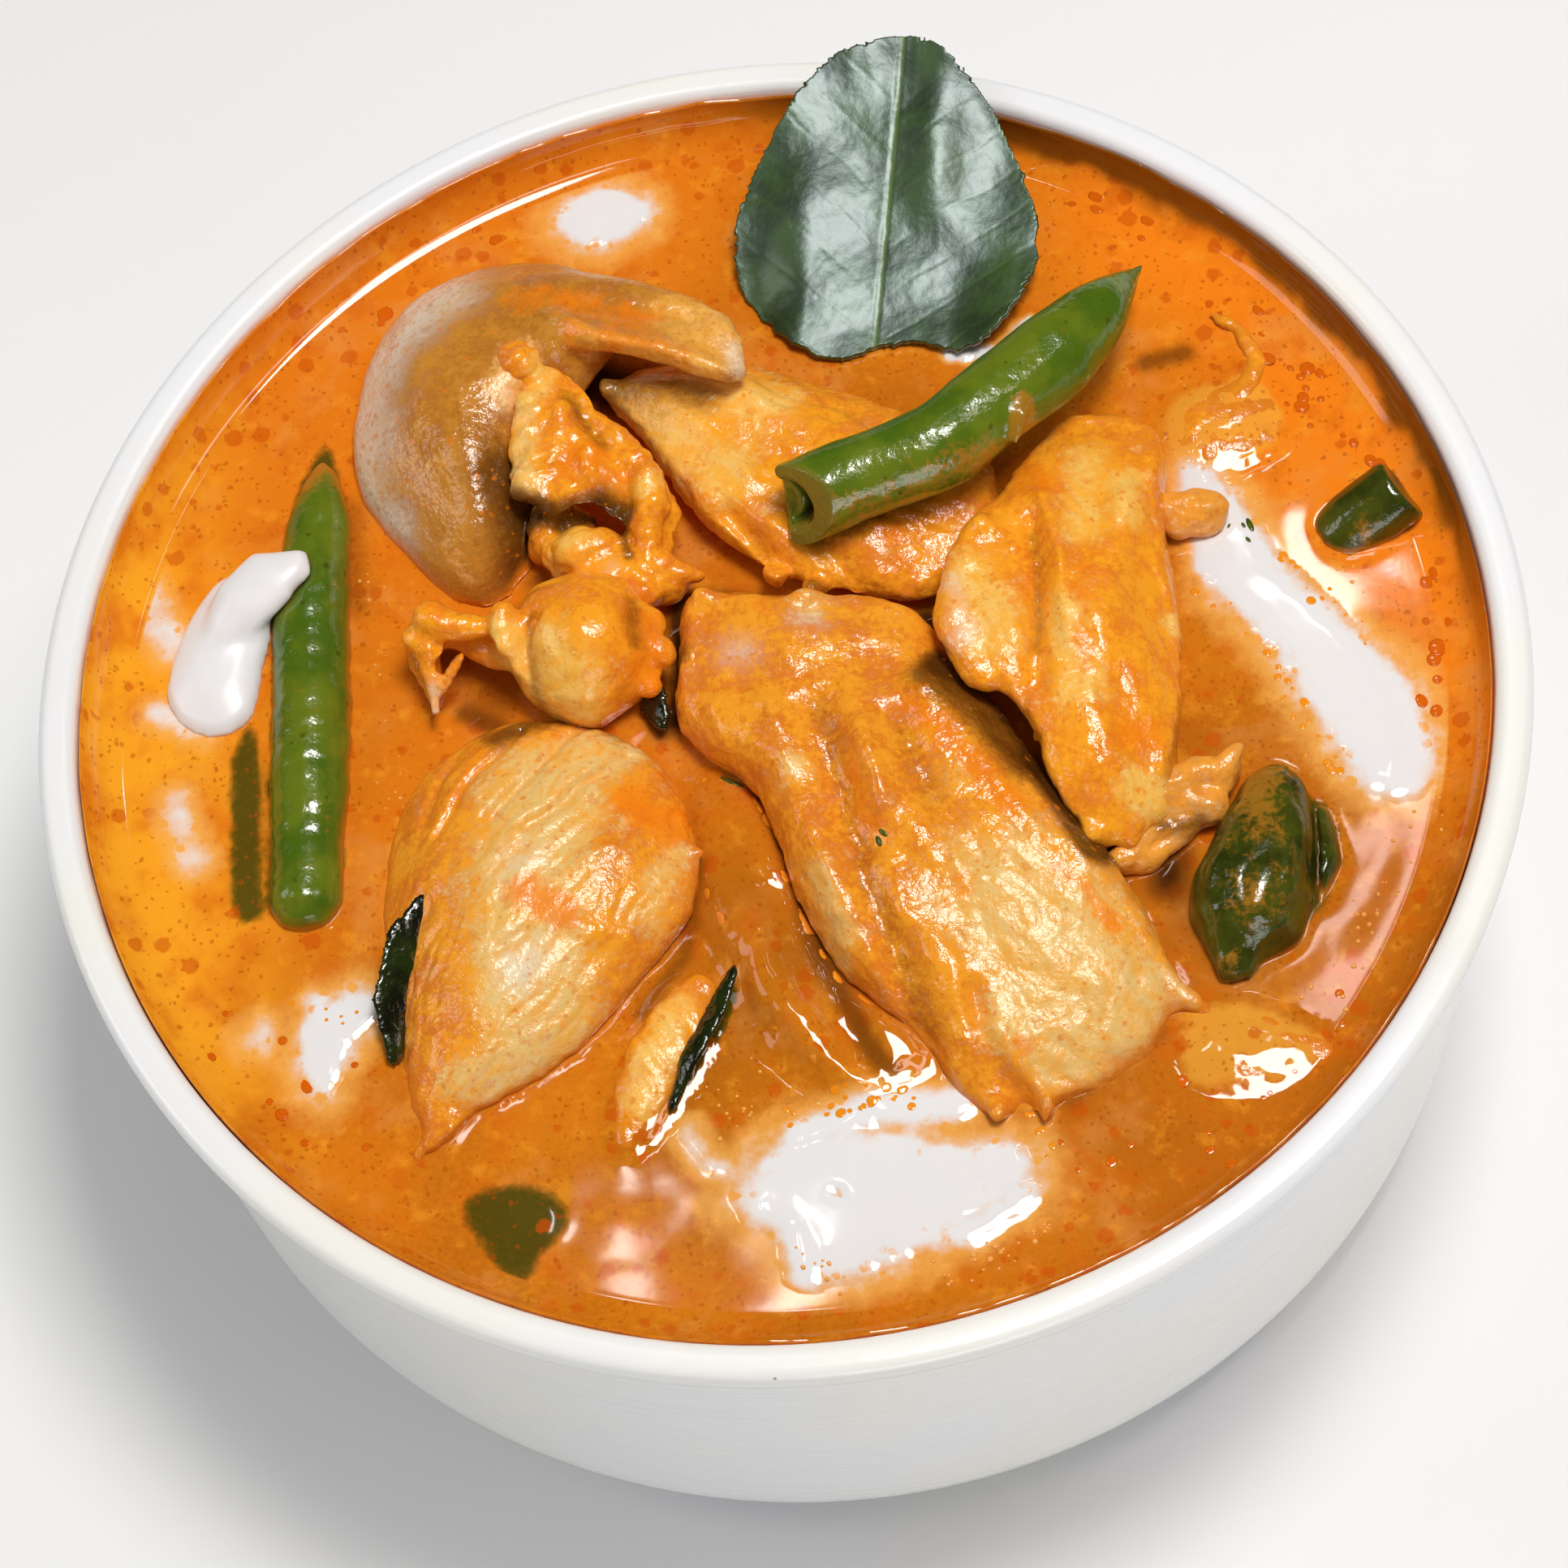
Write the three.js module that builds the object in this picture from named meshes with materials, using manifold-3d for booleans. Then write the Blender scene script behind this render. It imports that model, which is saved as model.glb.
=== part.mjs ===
// A white bowl of panang curry: sliced chicken, green beans, a lime leaf and coconut cream.
// Millimetres, +Z up. The origin is the middle of the bowl's foot, on the table.
// The near side of the bowl is towards -Y.

import * as THREE from 'three';
import { mergeVertices } from 'three/addons/utils/BufferGeometryUtils.js';
import Module from 'manifold-3d';

// ---- driving dimensions -------------------------------------------------------------------

const BOWL = {
  radius: 80, // outside of the lip
  height: 64,
  foot: 58, // radius of the flat foot
  corner: 15, // outside rounding between foot and wall
  lipHeight: 3.6,
  lipStep: 1.3, // how far the wall steps in below the lip
  lipRound: 1.2, // rounding of the lip's two edges
  lipWidth: 4, // flat white ring that shows from above
  taper: 2.6, // the wall leans in by this much on its way down
  floor: 4.5, // thickness of the floor
  sides: 60,
};
const SOUP_LEVEL = 58;
const GAP = 0.3; // clearance between pieces that touch
const ROOM = 0.36; // growth of a piece that leaves the gap on slopes too
const POOL_RISE = 0.7; // how far a pool of cream stands above the soup
const POOL_DEPTH = 2.4;

const BEAN_RADIUS = 4.4;
const CHILLI_RADIUS = 6.6;
const LEAF_THICKNESS = 0.7;

const LOOKS = {
  ceramic: { color: 0xf3f3f0, roughness: 0.3 },
  curry: { color: 0xd8782c, roughness: 0.28 },
  chicken: { color: 0xdfa457, roughness: 0.4 },
  sauced: { color: 0xcf8036, roughness: 0.35 },
  bean: { color: 0x3f7f2c, roughness: 0.35 },
  leaf: { color: 0x2d4a33, roughness: 0.4 },
  cream: { color: 0xf6efee, roughness: 0.3 },
};

// ---- helpers: closed meshes, and cutting one by another ------------------------------------

const wasm = await Module();
wasm.setup();

/** Merges the shared vertices and drops the flat triangles at the poles. */
function welded(geometry) {
  geometry.deleteAttribute('normal');
  geometry.deleteAttribute('uv');
  const merged = mergeVertices(geometry, 1e-4);
  const corners = [];
  const index = merged.index.array;
  for (let i = 0; i < index.length; i += 3) {
    const [a, b, c] = [index[i], index[i + 1], index[i + 2]];
    if (a !== b && b !== c && c !== a) corners.push(a, b, c);
  }
  merged.setIndex(corners);
  return merged;
}

function toSolid(geometry) {
  return new wasm.Manifold(new wasm.Mesh({
    numProp: 3,
    vertProperties: new Float32Array(geometry.attributes.position.array),
    triVerts: new Uint32Array(geometry.index.array),
  }));
}

function toGeometry(solid) {
  const mesh = solid.getMesh();
  const geometry = new THREE.BufferGeometry();
  geometry.setAttribute('position', new THREE.BufferAttribute(mesh.vertProperties, 3));
  geometry.setIndex(new THREE.BufferAttribute(mesh.triVerts, 1));
  return geometry;
}

/** The largest of a solid's separate bodies. */
function largest(solid) {
  return solid.decompose().reduce((best, body) => (body.volume() > best.volume() ? body : best));
}

// ---- forms ----------------------------------------------------------------------------------
// A form is a function of how much larger than the piece it is made: grown a little, it cuts the
// room for the piece out of its neighbours.

/** A ball of `around` by `rows` faces, each vertex moved to place(turn, row), turn being 0 to 1. */
function shapedBall(around, rows, place) {
  const ball = new THREE.SphereGeometry(1, around, rows);
  const { position, uv } = ball.attributes;
  for (let i = 0; i < position.count; i += 1) {
    const row = Math.round((1 - uv.getY(i)) * rows);
    const pole = row === 0 || row === rows;
    const turn = pole ? 0 : uv.getX(i) % 1;
    const { x, y, z } = place(turn, row);
    position.setXYZ(i, x, y, z);
  }
  return welded(ball);
}

const vectors = (points) => points.map((point) => new THREE.Vector3(...point));

/**
 * A rounded slab inside an outline. rim lists the middle of its edge, counter-clockwise, and
 * heart is the middle of the slab. thick is its thickness there and plump how square its edge is.
 * The top, which shows, takes topShare of the rows of faces. warp bends the whole slab and relief
 * shapes its top alone, each by (x, y, share of the way out).
 */
function slab({ rim, heart, thick, plump = 4, around = 28, rows = 6, topShare = 0.6, warp, relief }) {
  const edge = new THREE.CatmullRomCurve3(vectors(rim), true, 'centripetal');
  const middle = new THREE.Vector3(...heart);
  const above = Math.ceil(rows * topShare);
  return (grow) => shapedBall(around, rows, (turn, row) => {
    const under = row - above;
    const out = under > 0 ? Math.cos((Math.PI / 2) * (under / (rows - above)))
      : Math.sin((Math.PI / 2) * (row / above));
    const onRim = edge.getPoint(turn);
    const outwards = onRim.clone().sub(middle).setZ(0).normalize();
    const point = middle.clone().lerp(onRim, out).addScaledVector(outwards, grow * out);
    // The slab is crowned: it leaves the middle level and falls away towards its edge.
    point.z = THREE.MathUtils.lerp(middle.z, onRim.z, out ** 1.6);
    const half = row === above ? 0 : (thick / 2) * Math.sqrt(1 - out ** plump) + grow;
    if (warp) point.z += warp(point.x, point.y, out);
    if (under > 0) {
      point.z -= half;
    } else {
      point.z += half + (relief ? relief(point.x, point.y, out) * (1 - out ** plump) : 0);
    }
    return point;
  });
}

/**
 * A pod along a curve. stations lists [share of the length, half width, half height]; the first
 * and the last close the ends. tilt rolls the section about the curve, in radians.
 */
function pod({ path, stations, around = 10, tilt = 0 }) {
  const curve = new THREE.CatmullRomCurve3(vectors(path), false, 'centripetal');
  const rows = stations.length - 1;
  const up = new THREE.Vector3(0, 0, 1);
  return (grow) => shapedBall(around, rows, (turn, row) => {
    const [share, halfWidth, halfHeight = halfWidth] = stations[row];
    const along = curve.getTangentAt(share);
    const side = new THREE.Vector3().crossVectors(along, up).normalize().applyAxisAngle(along, tilt);
    const top = new THREE.Vector3().crossVectors(side, along).normalize();
    const angle = turn * 2 * Math.PI;
    const closed = row === 0 || row === rows ? 0 : 1;
    return curve.getPointAt(share)
      .addScaledVector(along, grow * (2 * share - 1))
      .addScaledVector(side, Math.cos(angle) * (halfWidth + grow) * closed)
      .addScaledVector(top, Math.sin(angle) * (halfHeight + grow) * closed);
  });
}

/** Ridges across a direction, as meat fibres or folds make. */
function ridges(degrees, spacing, height, sway = 0) {
  const angle = THREE.MathUtils.degToRad(degrees);
  return (x, y) => {
    const across = -x * Math.sin(angle) + y * Math.cos(angle);
    const along = x * Math.cos(angle) + y * Math.sin(angle);
    return height * Math.sin((2 * Math.PI * across) / spacing + sway * Math.sin(along / spacing));
  };
}

/** Humps in both directions, as on knobbly fat. */
const knobs = (spacing, height) => (x, y) => (
  height * Math.sin((2 * Math.PI * x) / spacing) * Math.cos((2 * Math.PI * y) / spacing)
);

// ---- bowl and soup --------------------------------------------------------------------------

/** Points of a quarter round or part of it, from one angle to another, in degrees. */
function arc(x, z, radius, from, to, steps) {
  const points = [];
  for (let i = 0; i <= steps; i += 1) {
    const angle = THREE.MathUtils.degToRad(THREE.MathUtils.lerp(from, to, i / steps));
    points.push([x + radius * Math.cos(angle), z + radius * Math.sin(angle)]);
  }
  return points;
}

/** Turns a profile that starts and ends on the axis; it runs up the outside. */
function turned(profile, sides) {
  const geometry = new THREE.LatheGeometry(profile.map(([x, z]) => new THREE.Vector2(x, z)), sides);
  geometry.rotateX(Math.PI / 2);
  return welded(geometry);
}

const WALL_TOP = BOWL.radius - BOWL.lipStep;
const WALL_FOOT = WALL_TOP - BOWL.taper;
const INNER_TOP = BOWL.radius - BOWL.lipWidth;
const INNER_FOOT = WALL_FOOT - BOWL.lipWidth + 0.4;
const INNER_CORNER = BOWL.corner - 2;

/** The inside of the bowl, from the floor's middle up to a height, pulled in by a gap. */
function insideProfile(top, gap) {
  const wall = (z) => THREE.MathUtils.mapLinear(z, BOWL.corner, BOWL.height, INNER_FOOT, INNER_TOP);
  const round = arc(INNER_FOOT - INNER_CORNER, BOWL.floor + INNER_CORNER, INNER_CORNER - gap, -90, 0, 3);
  return [[0, BOWL.floor + gap], ...round, [wall(top) - gap, top]];
}

function bowl() {
  const { radius, height, lipHeight, lipRound, foot, corner, sides } = BOWL;
  const cornerTurn = arc(WALL_FOOT - corner, corner, corner, -90, 0, 4);
  const outside = [[0, 0], [foot, 0], ...cornerTurn, [WALL_TOP, height - lipHeight - 0.4]];
  const lip = [
    [radius - 0.3, height - lipHeight],
    ...arc(radius - lipRound, height - lipRound, lipRound, 0, 90, 2),
    ...arc(INNER_TOP + lipRound, height - lipRound, lipRound, 90, 180, 2),
  ];
  const inside = insideProfile(height - 2 * lipRound, 0).reverse();
  return turned([...outside, ...lip, ...inside], sides);
}

function soup() {
  return turned([...insideProfile(SOUP_LEVEL, GAP), [0, SOUP_LEVEL]], BOWL.sides);
}

// ---- chicken --------------------------------------------------------------------------------

/** The big folded slice at the back left: a tall dome and a flap that hangs over its right. */
function chickenFold() {
  const dome = slab({
    rim: [
      [-41, 46.5, 58], [-43, 35.5, 57], [-38, 24, 57], [-30, 16, 58], [-24, 21, 58], [-21, 30, 60],
      [-17, 38, 63], [-10, 46, 62], [-12, 56, 60], [-20, 60, 59], [-29, 59.5, 59], [-37, 55, 58],
    ],
    heart: [-29, 39, 63.5],
    thick: 11,
    plump: 3,
    relief: ridges(100, 11, 0.35, 0.6),
  });
  const flap = slab({
    rim: [
      [-24, 55, 63], [-24, 44, 67], [-17.5, 42, 68.6], [-11, 39.5, 69], [-4.5, 36.5, 69],
      [1, 33, 67.8], [3, 39, 67.8], [0, 45, 66.5], [-7, 50.5, 65], [-15, 55, 63.5],
    ],
    heart: [-12, 46, 67.6],
    thick: 3.4,
    plump: 6,
    around: 22,
  });
  return [dome, flap];
}

/** The crinkled end of the fold: a frilled strip, its knobs and a drawn-out tip. */
function chickenCrinkle() {
  const frill = slab({
    rim: [
      [-19, 41.5, 66.5], [-23.5, 36, 66.5], [-25, 28, 65.5], [-21.5, 22.5, 65], [-17, 23.5, 65.5],
      [-14, 21, 65], [-10.5, 15.5, 62.5], [-7.5, 20, 63], [-8.5, 26, 64.5], [-14, 34, 66],
    ],
    heart: [-17, 29, 66],
    thick: 3.6,
    plump: 4,
    relief: knobs(9, 0.7),
  });
  const under = pod({
    path: [[-22, 27, 60], [-19, 19, 61], [-13, 15, 61.5], [-7.5, 14, 61]],
    stations: [[0, 0], [0.04, 2.4, 2.6], [0.2, 4.2, 3.8], [0.36, 3.4, 3.2], [0.56, 4.4, 3.9],
      [0.74, 3.3, 3], [0.9, 2.6, 2.2], [0.98, 1.3, 1.1], [1, 0]],
  });
  return [frill, under];
}

/** The round knob of the middle left, with its thin wing and the drip at the wing's end. */
function chickenLump() {
  const knob = pod({
    path: [[-28, 6, 61.4], [-20, 7, 62], [-11.8, 5, 61.5]],
    stations: [[0, 0], [0.03, 3, 2.8], [0.14, 6, 5.6], [0.32, 8.2, 7.4], [0.5, 8.8, 7.9], [0.7, 8, 7.2],
      [0.88, 5, 4.6], [0.97, 2.4, 2.2], [1, 0]],
    around: 14,
  });
  const wing = pod({
    path: [[-24, 8.5, 61.6], [-29, 9.5, 61.8], [-33.5, 12.5, 61.4], [-37.5, 13, 60.6], [-37, 8, 59.4],
      [-36.8, 4.8, 58.4]],
    stations: [[0, 0], [0.03, 3, 2.2], [0.25, 3, 1.9], [0.45, 2, 1.6], [0.62, 2.6, 1.6], [0.75, 1.8, 1.5],
      [0.92, 1.1, 1.1], [0.99, 0.6, 0.6], [1, 0]],
  });
  return [knob, wing];
}

/** The slice at the back that the long bean lies on. */
function chickenBack() {
  return [slab({
    rim: [
      [-14, 41, 60], [-9.5, 31, 60.5], [-5.5, 21, 61], [1, 13.5, 61], [8.5, 9.5, 61], [18, 6.5, 60],
      [27, 14, 60], [27, 24, 59.5], [20, 30.5, 59], [10, 37, 58.8], [-1, 43, 59],
    ],
    heart: [6, 24, 61.2],
    thick: 8,
    relief: ridges(-35, 12, 0.5, 0.5),
  })];
}

/** The domed slice at the left, its fibres running up to the right. */
function chickenLeft() {
  return [slab({
    rim: [
      [-36.5, 0, 57.4], [-42.5, -6, 56.8], [-46, -18, 56.6], [-45.5, -33, 56.8], [-44.5, -44, 57.2],
      [-37.5, -43, 57.6], [-27.5, -38.5, 58], [-18.5, -30.5, 58.4], [-12.8, -25.5, 58.6],
      [-11.4, -18, 58.6], [-12.5, -9, 58.4], [-18, -2, 58], [-28, 2, 57.6],
    ],
    heart: [-28.5, -20, 60.6],
    thick: 10,
    plump: 3,
    rows: 7,
    relief: ridges(48, 9, 0.3, 0.8),
  })];
}

/** The longest slice, lying from the middle down to the front right. */
function chickenCentre() {
  const long = ridges(-62, 13, 0.6, 0.9);
  return [slab({
    rim: [
      [-8, 11.6, 62], [-10.8, 3, 61], [-11, -5, 59.5], [-4.5, -12, 60.5], [-2.2, -26, 60],
      [2, -36.5, 59], [9, -44, 57.8], [12, -52.5, 56.6], [20, -53.5, 56.6], [29, -51, 57],
      [35.5, -43.5, 57.6], [32, -29.5, 59.6], [24.5, -13, 61.2], [18.8, -0.4, 62.2], [14.6, 5.2, 62.6],
      [3, 8.8, 62.8],
    ],
    heart: [9.5, -20, 63.2],
    thick: 8.4,
    plump: 6,
    around: 36,
    rows: 8,
    relief: long,
  })];
}

/** The strip on the right that lies over the long slice. */
function chickenRight() {
  const strip = slab({
    rim: [
      [37, 26, 61.4], [30, 20, 62.8], [23.5, 11.5, 64.4], [19.5, 1.5, 65.4], [21.5, -7, 65.6],
      [25.5, -13, 64.8], [26.5, -22, 63.6], [31.5, -26.8, 61.6], [38.5, -24, 60.6], [41, -14, 60.4],
      [43.5, -4, 60], [44.5, 10, 60], [46, 23, 60.4],
    ],
    heart: [33, -1, 65],
    thick: 6,
    plump: 5,
    around: 30,
    rows: 7,
    relief: ridges(-68, 10, 0.45, 0.6),
  });
  const knobbly = pod({
    path: [[27, 14.5, 64.6], [21.5, 7, 66], [19.5, -1, 66.4], [22.4, -8.8, 66]],
    stations: [[0, 0], [0.03, 1.2, 1.2], [0.2, 1.9, 1.7], [0.34, 2.3, 2], [0.46, 1.8, 1.6], [0.62, 2.6, 2.2],
      [0.76, 2, 1.8], [0.9, 2.2, 1.9], [0.98, 1.1, 1], [1, 0]],
  });
  return [strip, knobbly];
}

/** A sunken slice, coated with sauce, that shows as a slope beside the long slice. */
function chickenUnder() {
  return [slab({
    rim: [
      [-10, -7, 57.6], [-13, -16, 57], [-12, -28, 56.8], [-8, -40, 56.6], [0, -49, 56.4], [6, -50, 56.4],
      [10, -46, 56.8], [4, -36, 58], [0, -24, 58.4], [-4, -12, 58.2],
    ],
    heart: [-5, -28, 57.8],
    thick: 5,
    around: 22,
    rows: 5,
  })];
}

/** A narrow strip beside the dark leaf at the front. */
function chickenStrip() {
  return [pod({
    path: [[-12.6, -31.6, 58], [-17, -38, 58.1], [-21, -43.4, 57.8], [-24, -50.4, 57]],
    stations: [[0, 0], [0.04, 1.6, 1], [0.25, 3.4, 1.8], [0.5, 3.8, 2], [0.75, 3, 1.8], [0.95, 1.6, 1], [1, 0]],
  })];
}

/** A thin flake just under the surface at the front right. */
function chickenFlakeRight() {
  return [slab({
    rim: [[33, -47, 57], [34, -54, 56.8], [43, -55.5, 57], [51, -53, 57.2], [46, -47.5, 57.2], [40, -44, 57]],
    heart: [41.5, -50, 57.4],
    thick: 2.4,
    around: 16,
    rows: 5,
  })];
}

/** A ragged flake at the back right, with a thin curled tail. */
function chickenFlakeBack() {
  const flake = slab({
    rim: [[47, 27.5, 57.2], [46.5, 19, 57], [53, 17.5, 57], [60, 20, 57.2], [60, 27, 57.2], [53, 30, 57.2]],
    heart: [53, 23.5, 57.6],
    thick: 2.6,
    around: 16,
    rows: 5,
  });
  const tail = pod({
    path: [[55.5, 26, 58], [58.6, 31, 58.2], [57.8, 34.8, 58.6], [54.5, 38, 58.6]],
    stations: [[0, 0], [0.04, 1.6, 1], [0.4, 1.3, 0.9], [0.75, 1, 0.8], [0.97, 0.5, 0.5], [1, 0]],
    around: 10,
  });
  return [flake, tail];
}

/** A small nub of fat beside the right-hand strip. */
function chickenNub() {
  return [pod({
    path: [[45.4, 13.2, 58.6], [48, 12.4, 59.6], [51, 11.4, 58.6]],
    stations: [[0, 0], [0.06, 1.6, 1.4], [0.4, 2.9, 2.1], [0.75, 2.6, 2], [0.94, 1.4, 1.2], [1, 0]],
  })];
}

/** Shreds hanging from the lower end of the right-hand strip, towards the chilli. */
function chickenShreds() {
  return [pod({
    path: [[31, -27.8, 58.4], [36.6, -26.2, 58.8], [42.2, -22, 59.8], [46.6, -18.4, 60.2]],
    stations: [[0, 0], [0.04, 1.2, 1], [0.2, 2.4, 1.6], [0.4, 1.6, 1.3], [0.6, 2.2, 1.6], [0.8, 1.7, 1.3],
      [0.96, 0.9, 0.8], [1, 0]],
  })];
}

// ---- beans, chillies and leaves ---------------------------------------------------------------

/** Stations of a bean: a cut end with a shallow hollow, or a pointed one, at each side. */
function beanStations(radius, start, finish) {
  const cut = (t) => [[t(0.05), 0], [t(0.03), radius * 0.55], [t(0), radius * 0.68], [t(0), radius * 0.96],
    [t(0.03), radius]];
  const point = (t) => [[t(0), 0], [t(0.03), radius * 0.18], [t(0.1), radius * 0.52], [t(0.2), radius * 0.84]];
  const round = (t) => [[t(0), 0], [t(0.015), radius * 0.6], [t(0.05), radius * 0.92]];
  const ends = { cut, point, round };
  const first = ends[start]((t) => t);
  const last = ends[finish]((t) => 1 - t).reverse();
  return [...first, [0.35, radius], [0.65, radius * 1.02], ...last];
}

function beanTop() {
  return [pod({
    path: [[3.6, 16.6, 68.8], [11.3, 16.5, 69.6], [20.7, 19.1, 70.4], [30.5, 24.7, 70.4], [39, 32.2, 68.8],
      [44, 37.5, 67], [48.4, 42.1, 65]],
    stations: beanStations(BEAN_RADIUS * 1.08, 'cut', 'point'),
    around: 16,
  })];
}

function beanLeft() {
  return [pod({
    path: [[-45.2, 43.5, 55.8], [-47.2, 33, 57.2], [-49, 22, 58], [-50.6, 8, 58], [-52.2, -6, 58],
      [-54, -19, 57.6]],
    stations: beanStations(BEAN_RADIUS, 'point', 'round'),
    around: 12,
  })];
}

function beanLeftThin() {
  return [pod({
    path: [[-57.4, 9, 56.4], [-58.6, 1, 56.9], [-59.4, -9, 56.9], [-59.8, -17, 56.2]],
    stations: beanStations(BEAN_RADIUS * 0.5, 'point', 'round'),
  })];
}

function beanRight() {
  return [pod({
    path: [[62, 7.6, 55.4], [66, 9, 58], [70.4, 10.4, 60.4]],
    stations: beanStations(BEAN_RADIUS * 0.88, 'round', 'cut'),
    around: 12,
  })];
}

/** The blunt green chilli at the right, its stalk end towards the front. */
function chilliRight() {
  const r = CHILLI_RADIUS;
  return [pod({
    path: [[50.6, -19.5, 57.6], [48.5, -26, 58.6], [45.6, -32, 58.6], [42.6, -38.5, 58.2],
      [41.2, -42.6, 57.8]],
    stations: [[0, 0], [0.02, r * 0.3], [0.12, r * 0.55], [0.35, r * 0.82], [0.6, r], [0.78, r * 0.88],
      [0.88, r * 0.56], [0.93, r * 0.36], [0.99, r * 0.3], [1, 0]],
    around: 14,
  })];
}

function chilliRightBack() {
  const r = CHILLI_RADIUS * 0.55;
  return [pod({
    path: [[52, -22.4, 56.2], [51.8, -30.6, 56.9], [47.6, -38, 56.2]],
    stations: [[0, 0], [0.03, r * 0.5], [0.18, r * 0.86], [0.5, r], [0.82, r * 0.8], [0.97, r * 0.4], [1, 0]],
  })];
}

/** A green piece that has almost sunk at the front left. */
function beanSunk() {
  return [slab({
    rim: [[-42, -52, 55.6], [-39.5, -59, 55.4], [-36.5, -63.5, 55.4], [-33, -60, 55.6], [-29.5, -56.5, 55.8],
      [-31, -52.5, 55.8], [-36.5, -50.5, 55.8]],
    heart: [-35.8, -55.5, 56.2],
    thick: 4.4,
    plump: 3,
    around: 16,
    rows: 5,
  })];
}

/** The lime leaf: its base in the soup, its tip over the back of the lip. */
function limeLeaf() {
  const ribStart = new THREE.Vector2(17, 41);
  const ribEnd = new THREE.Vector2(26.5, 75);
  const rib = ribEnd.clone().sub(ribStart).normalize();
  const fromRib = (x, y) => (x - ribStart.x) * rib.y - (y - ribStart.y) * rib.x;
  const alongRib = (x, y) => (x - ribStart.x) * rib.x + (y - ribStart.y) * rib.y;
  // Each half rises a little from the midrib, and the side veins ripple it.
  const wave = (x, y) => {
    const off = Math.abs(fromRib(x, y));
    return 0.075 * off + 0.35 * Math.sin((alongRib(x, y) - 0.55 * off) * 0.95) * Math.min(1, off / 6);
  };
  return [slab({
    rim: [
      [17, 41, 58.6], [11.5, 40.5, 58], [5.5, 47, 58.2], [3.2, 54, 59.4], [5.5, 61.5, 61], [11.5, 69.2, 63.4],
      [18, 74.6, 65.6], [24.4, 75.6, 66.6], [29.6, 73.8, 66.4], [34.6, 66, 64.6], [37.2, 56, 62.2],
      [37.2, 47.5, 60.2], [33, 41.5, 58.8], [27.5, 38.2, 58], [22, 40.5, 58.2],
    ].reverse(),
    heart: [20.5, 56, 61],
    thick: LEAF_THICKNESS,
    plump: 12,
    around: 40,
    rows: 8,
    topShare: 0.5,
    warp: wave,
  })];
}

/** A shred of leaf: a flat pod, tilted about its length. */
function leafShred(path, halfWidth, tilt) {
  return [pod({
    path,
    stations: [[0, 0], [0.05, halfWidth * 0.4, 0.3], [0.3, halfWidth, 0.35], [0.65, halfWidth * 0.9, 0.35],
      [0.95, halfWidth * 0.35, 0.3], [1, 0]],
    tilt,
  })];
}

// ---- coconut cream ------------------------------------------------------------------------------

const POOL_MIDDLE = SOUP_LEVEL + (POOL_RISE - POOL_DEPTH) / 2;
const POOL_THICKNESS = POOL_RISE + POOL_DEPTH;

/** A pool of cream lying in the surface of the soup. rim and heart are [x, y] only. */
function pool(rim, heart) {
  return [slab({
    rim: rim.map(([x, y]) => [x, y, POOL_MIDDLE]),
    heart: [...heart, POOL_MIDDLE],
    thick: POOL_THICKNESS,
    plump: 3,
    around: 2 * rim.length,
    rows: 5,
  })];
}

/** The long pool at the right, narrow at the back and wide towards the front. */
function creamRight() {
  const half = POOL_THICKNESS / 2;
  const course = [[48, 20.6], [51, 13.5], [51, 7], [54.4, 0], [59, -8], [62, -16], [63.6, -25.4]];
  return [pod({
    path: course.map(([x, y]) => [x, y, POOL_MIDDLE]),
    stations: [[0, 0], [0.03, 1.6, half * 0.8], [0.18, 2.6, half], [0.34, 4.2, half], [0.55, 4.6, half],
      [0.76, 5.8, half], [0.92, 4.8, half], [0.985, 2.4, half * 0.7], [1, 0]],
  })];
}

/** The thick dollop at the left, its second lobe lying over the bean. */
function creamDollop() {
  const body = slab({
    rim: [
      [-66.4, 13, 58], [-65.4, 8.6, 58], [-61.5, 6, 58], [-57.4, 7.4, 58], [-55.4, 13, 58.4],
      [-53.6, 18, 59], [-54, 24, 59.4], [-58.6, 26.4, 58.6], [-63.4, 20.6, 58.2],
    ],
    heart: [-60, 14.6, 58.6],
    thick: 4.6,
    plump: 2.4,
    around: 20,
    rows: 5,
  });
  const lobe = pod({
    path: [[-60, 17, 60], [-55.4, 21.2, 61.6], [-51.4, 23.4, 62.4], [-48, 22.4, 62.4]],
    stations: [[0, 0], [0.06, 2, 1.4], [0.35, 3.8, 2.1], [0.65, 3.9, 2.1], [0.88, 2.7, 1.6], [1, 0]],
  });
  return [body, lobe];
}

// ---- the whole ------------------------------------------------------------------------------------

const CREAM_FRONT = [
  [-4.5, -50.5], [-11, -52.8], [-14.5, -57], [-10.5, -61.5], [-8.5, -67], [-2, -68], [9, -65], [17.4, -61],
  [17.4, -56.4], [11, -55.6], [5, -53],
];
const CREAM_BACK = [[-16.5, 67], [-15, 62.6], [-11, 61.5], [-6, 63.4], [-5.2, 66.6], [-10, 69.8]];
const CREAM_SMEAR = [[-55.6, -29.5], [-56, -35.6], [-53.8, -38.6], [-51, -33], [-46.4, -29], [-48.6, -26.4]];

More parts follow.
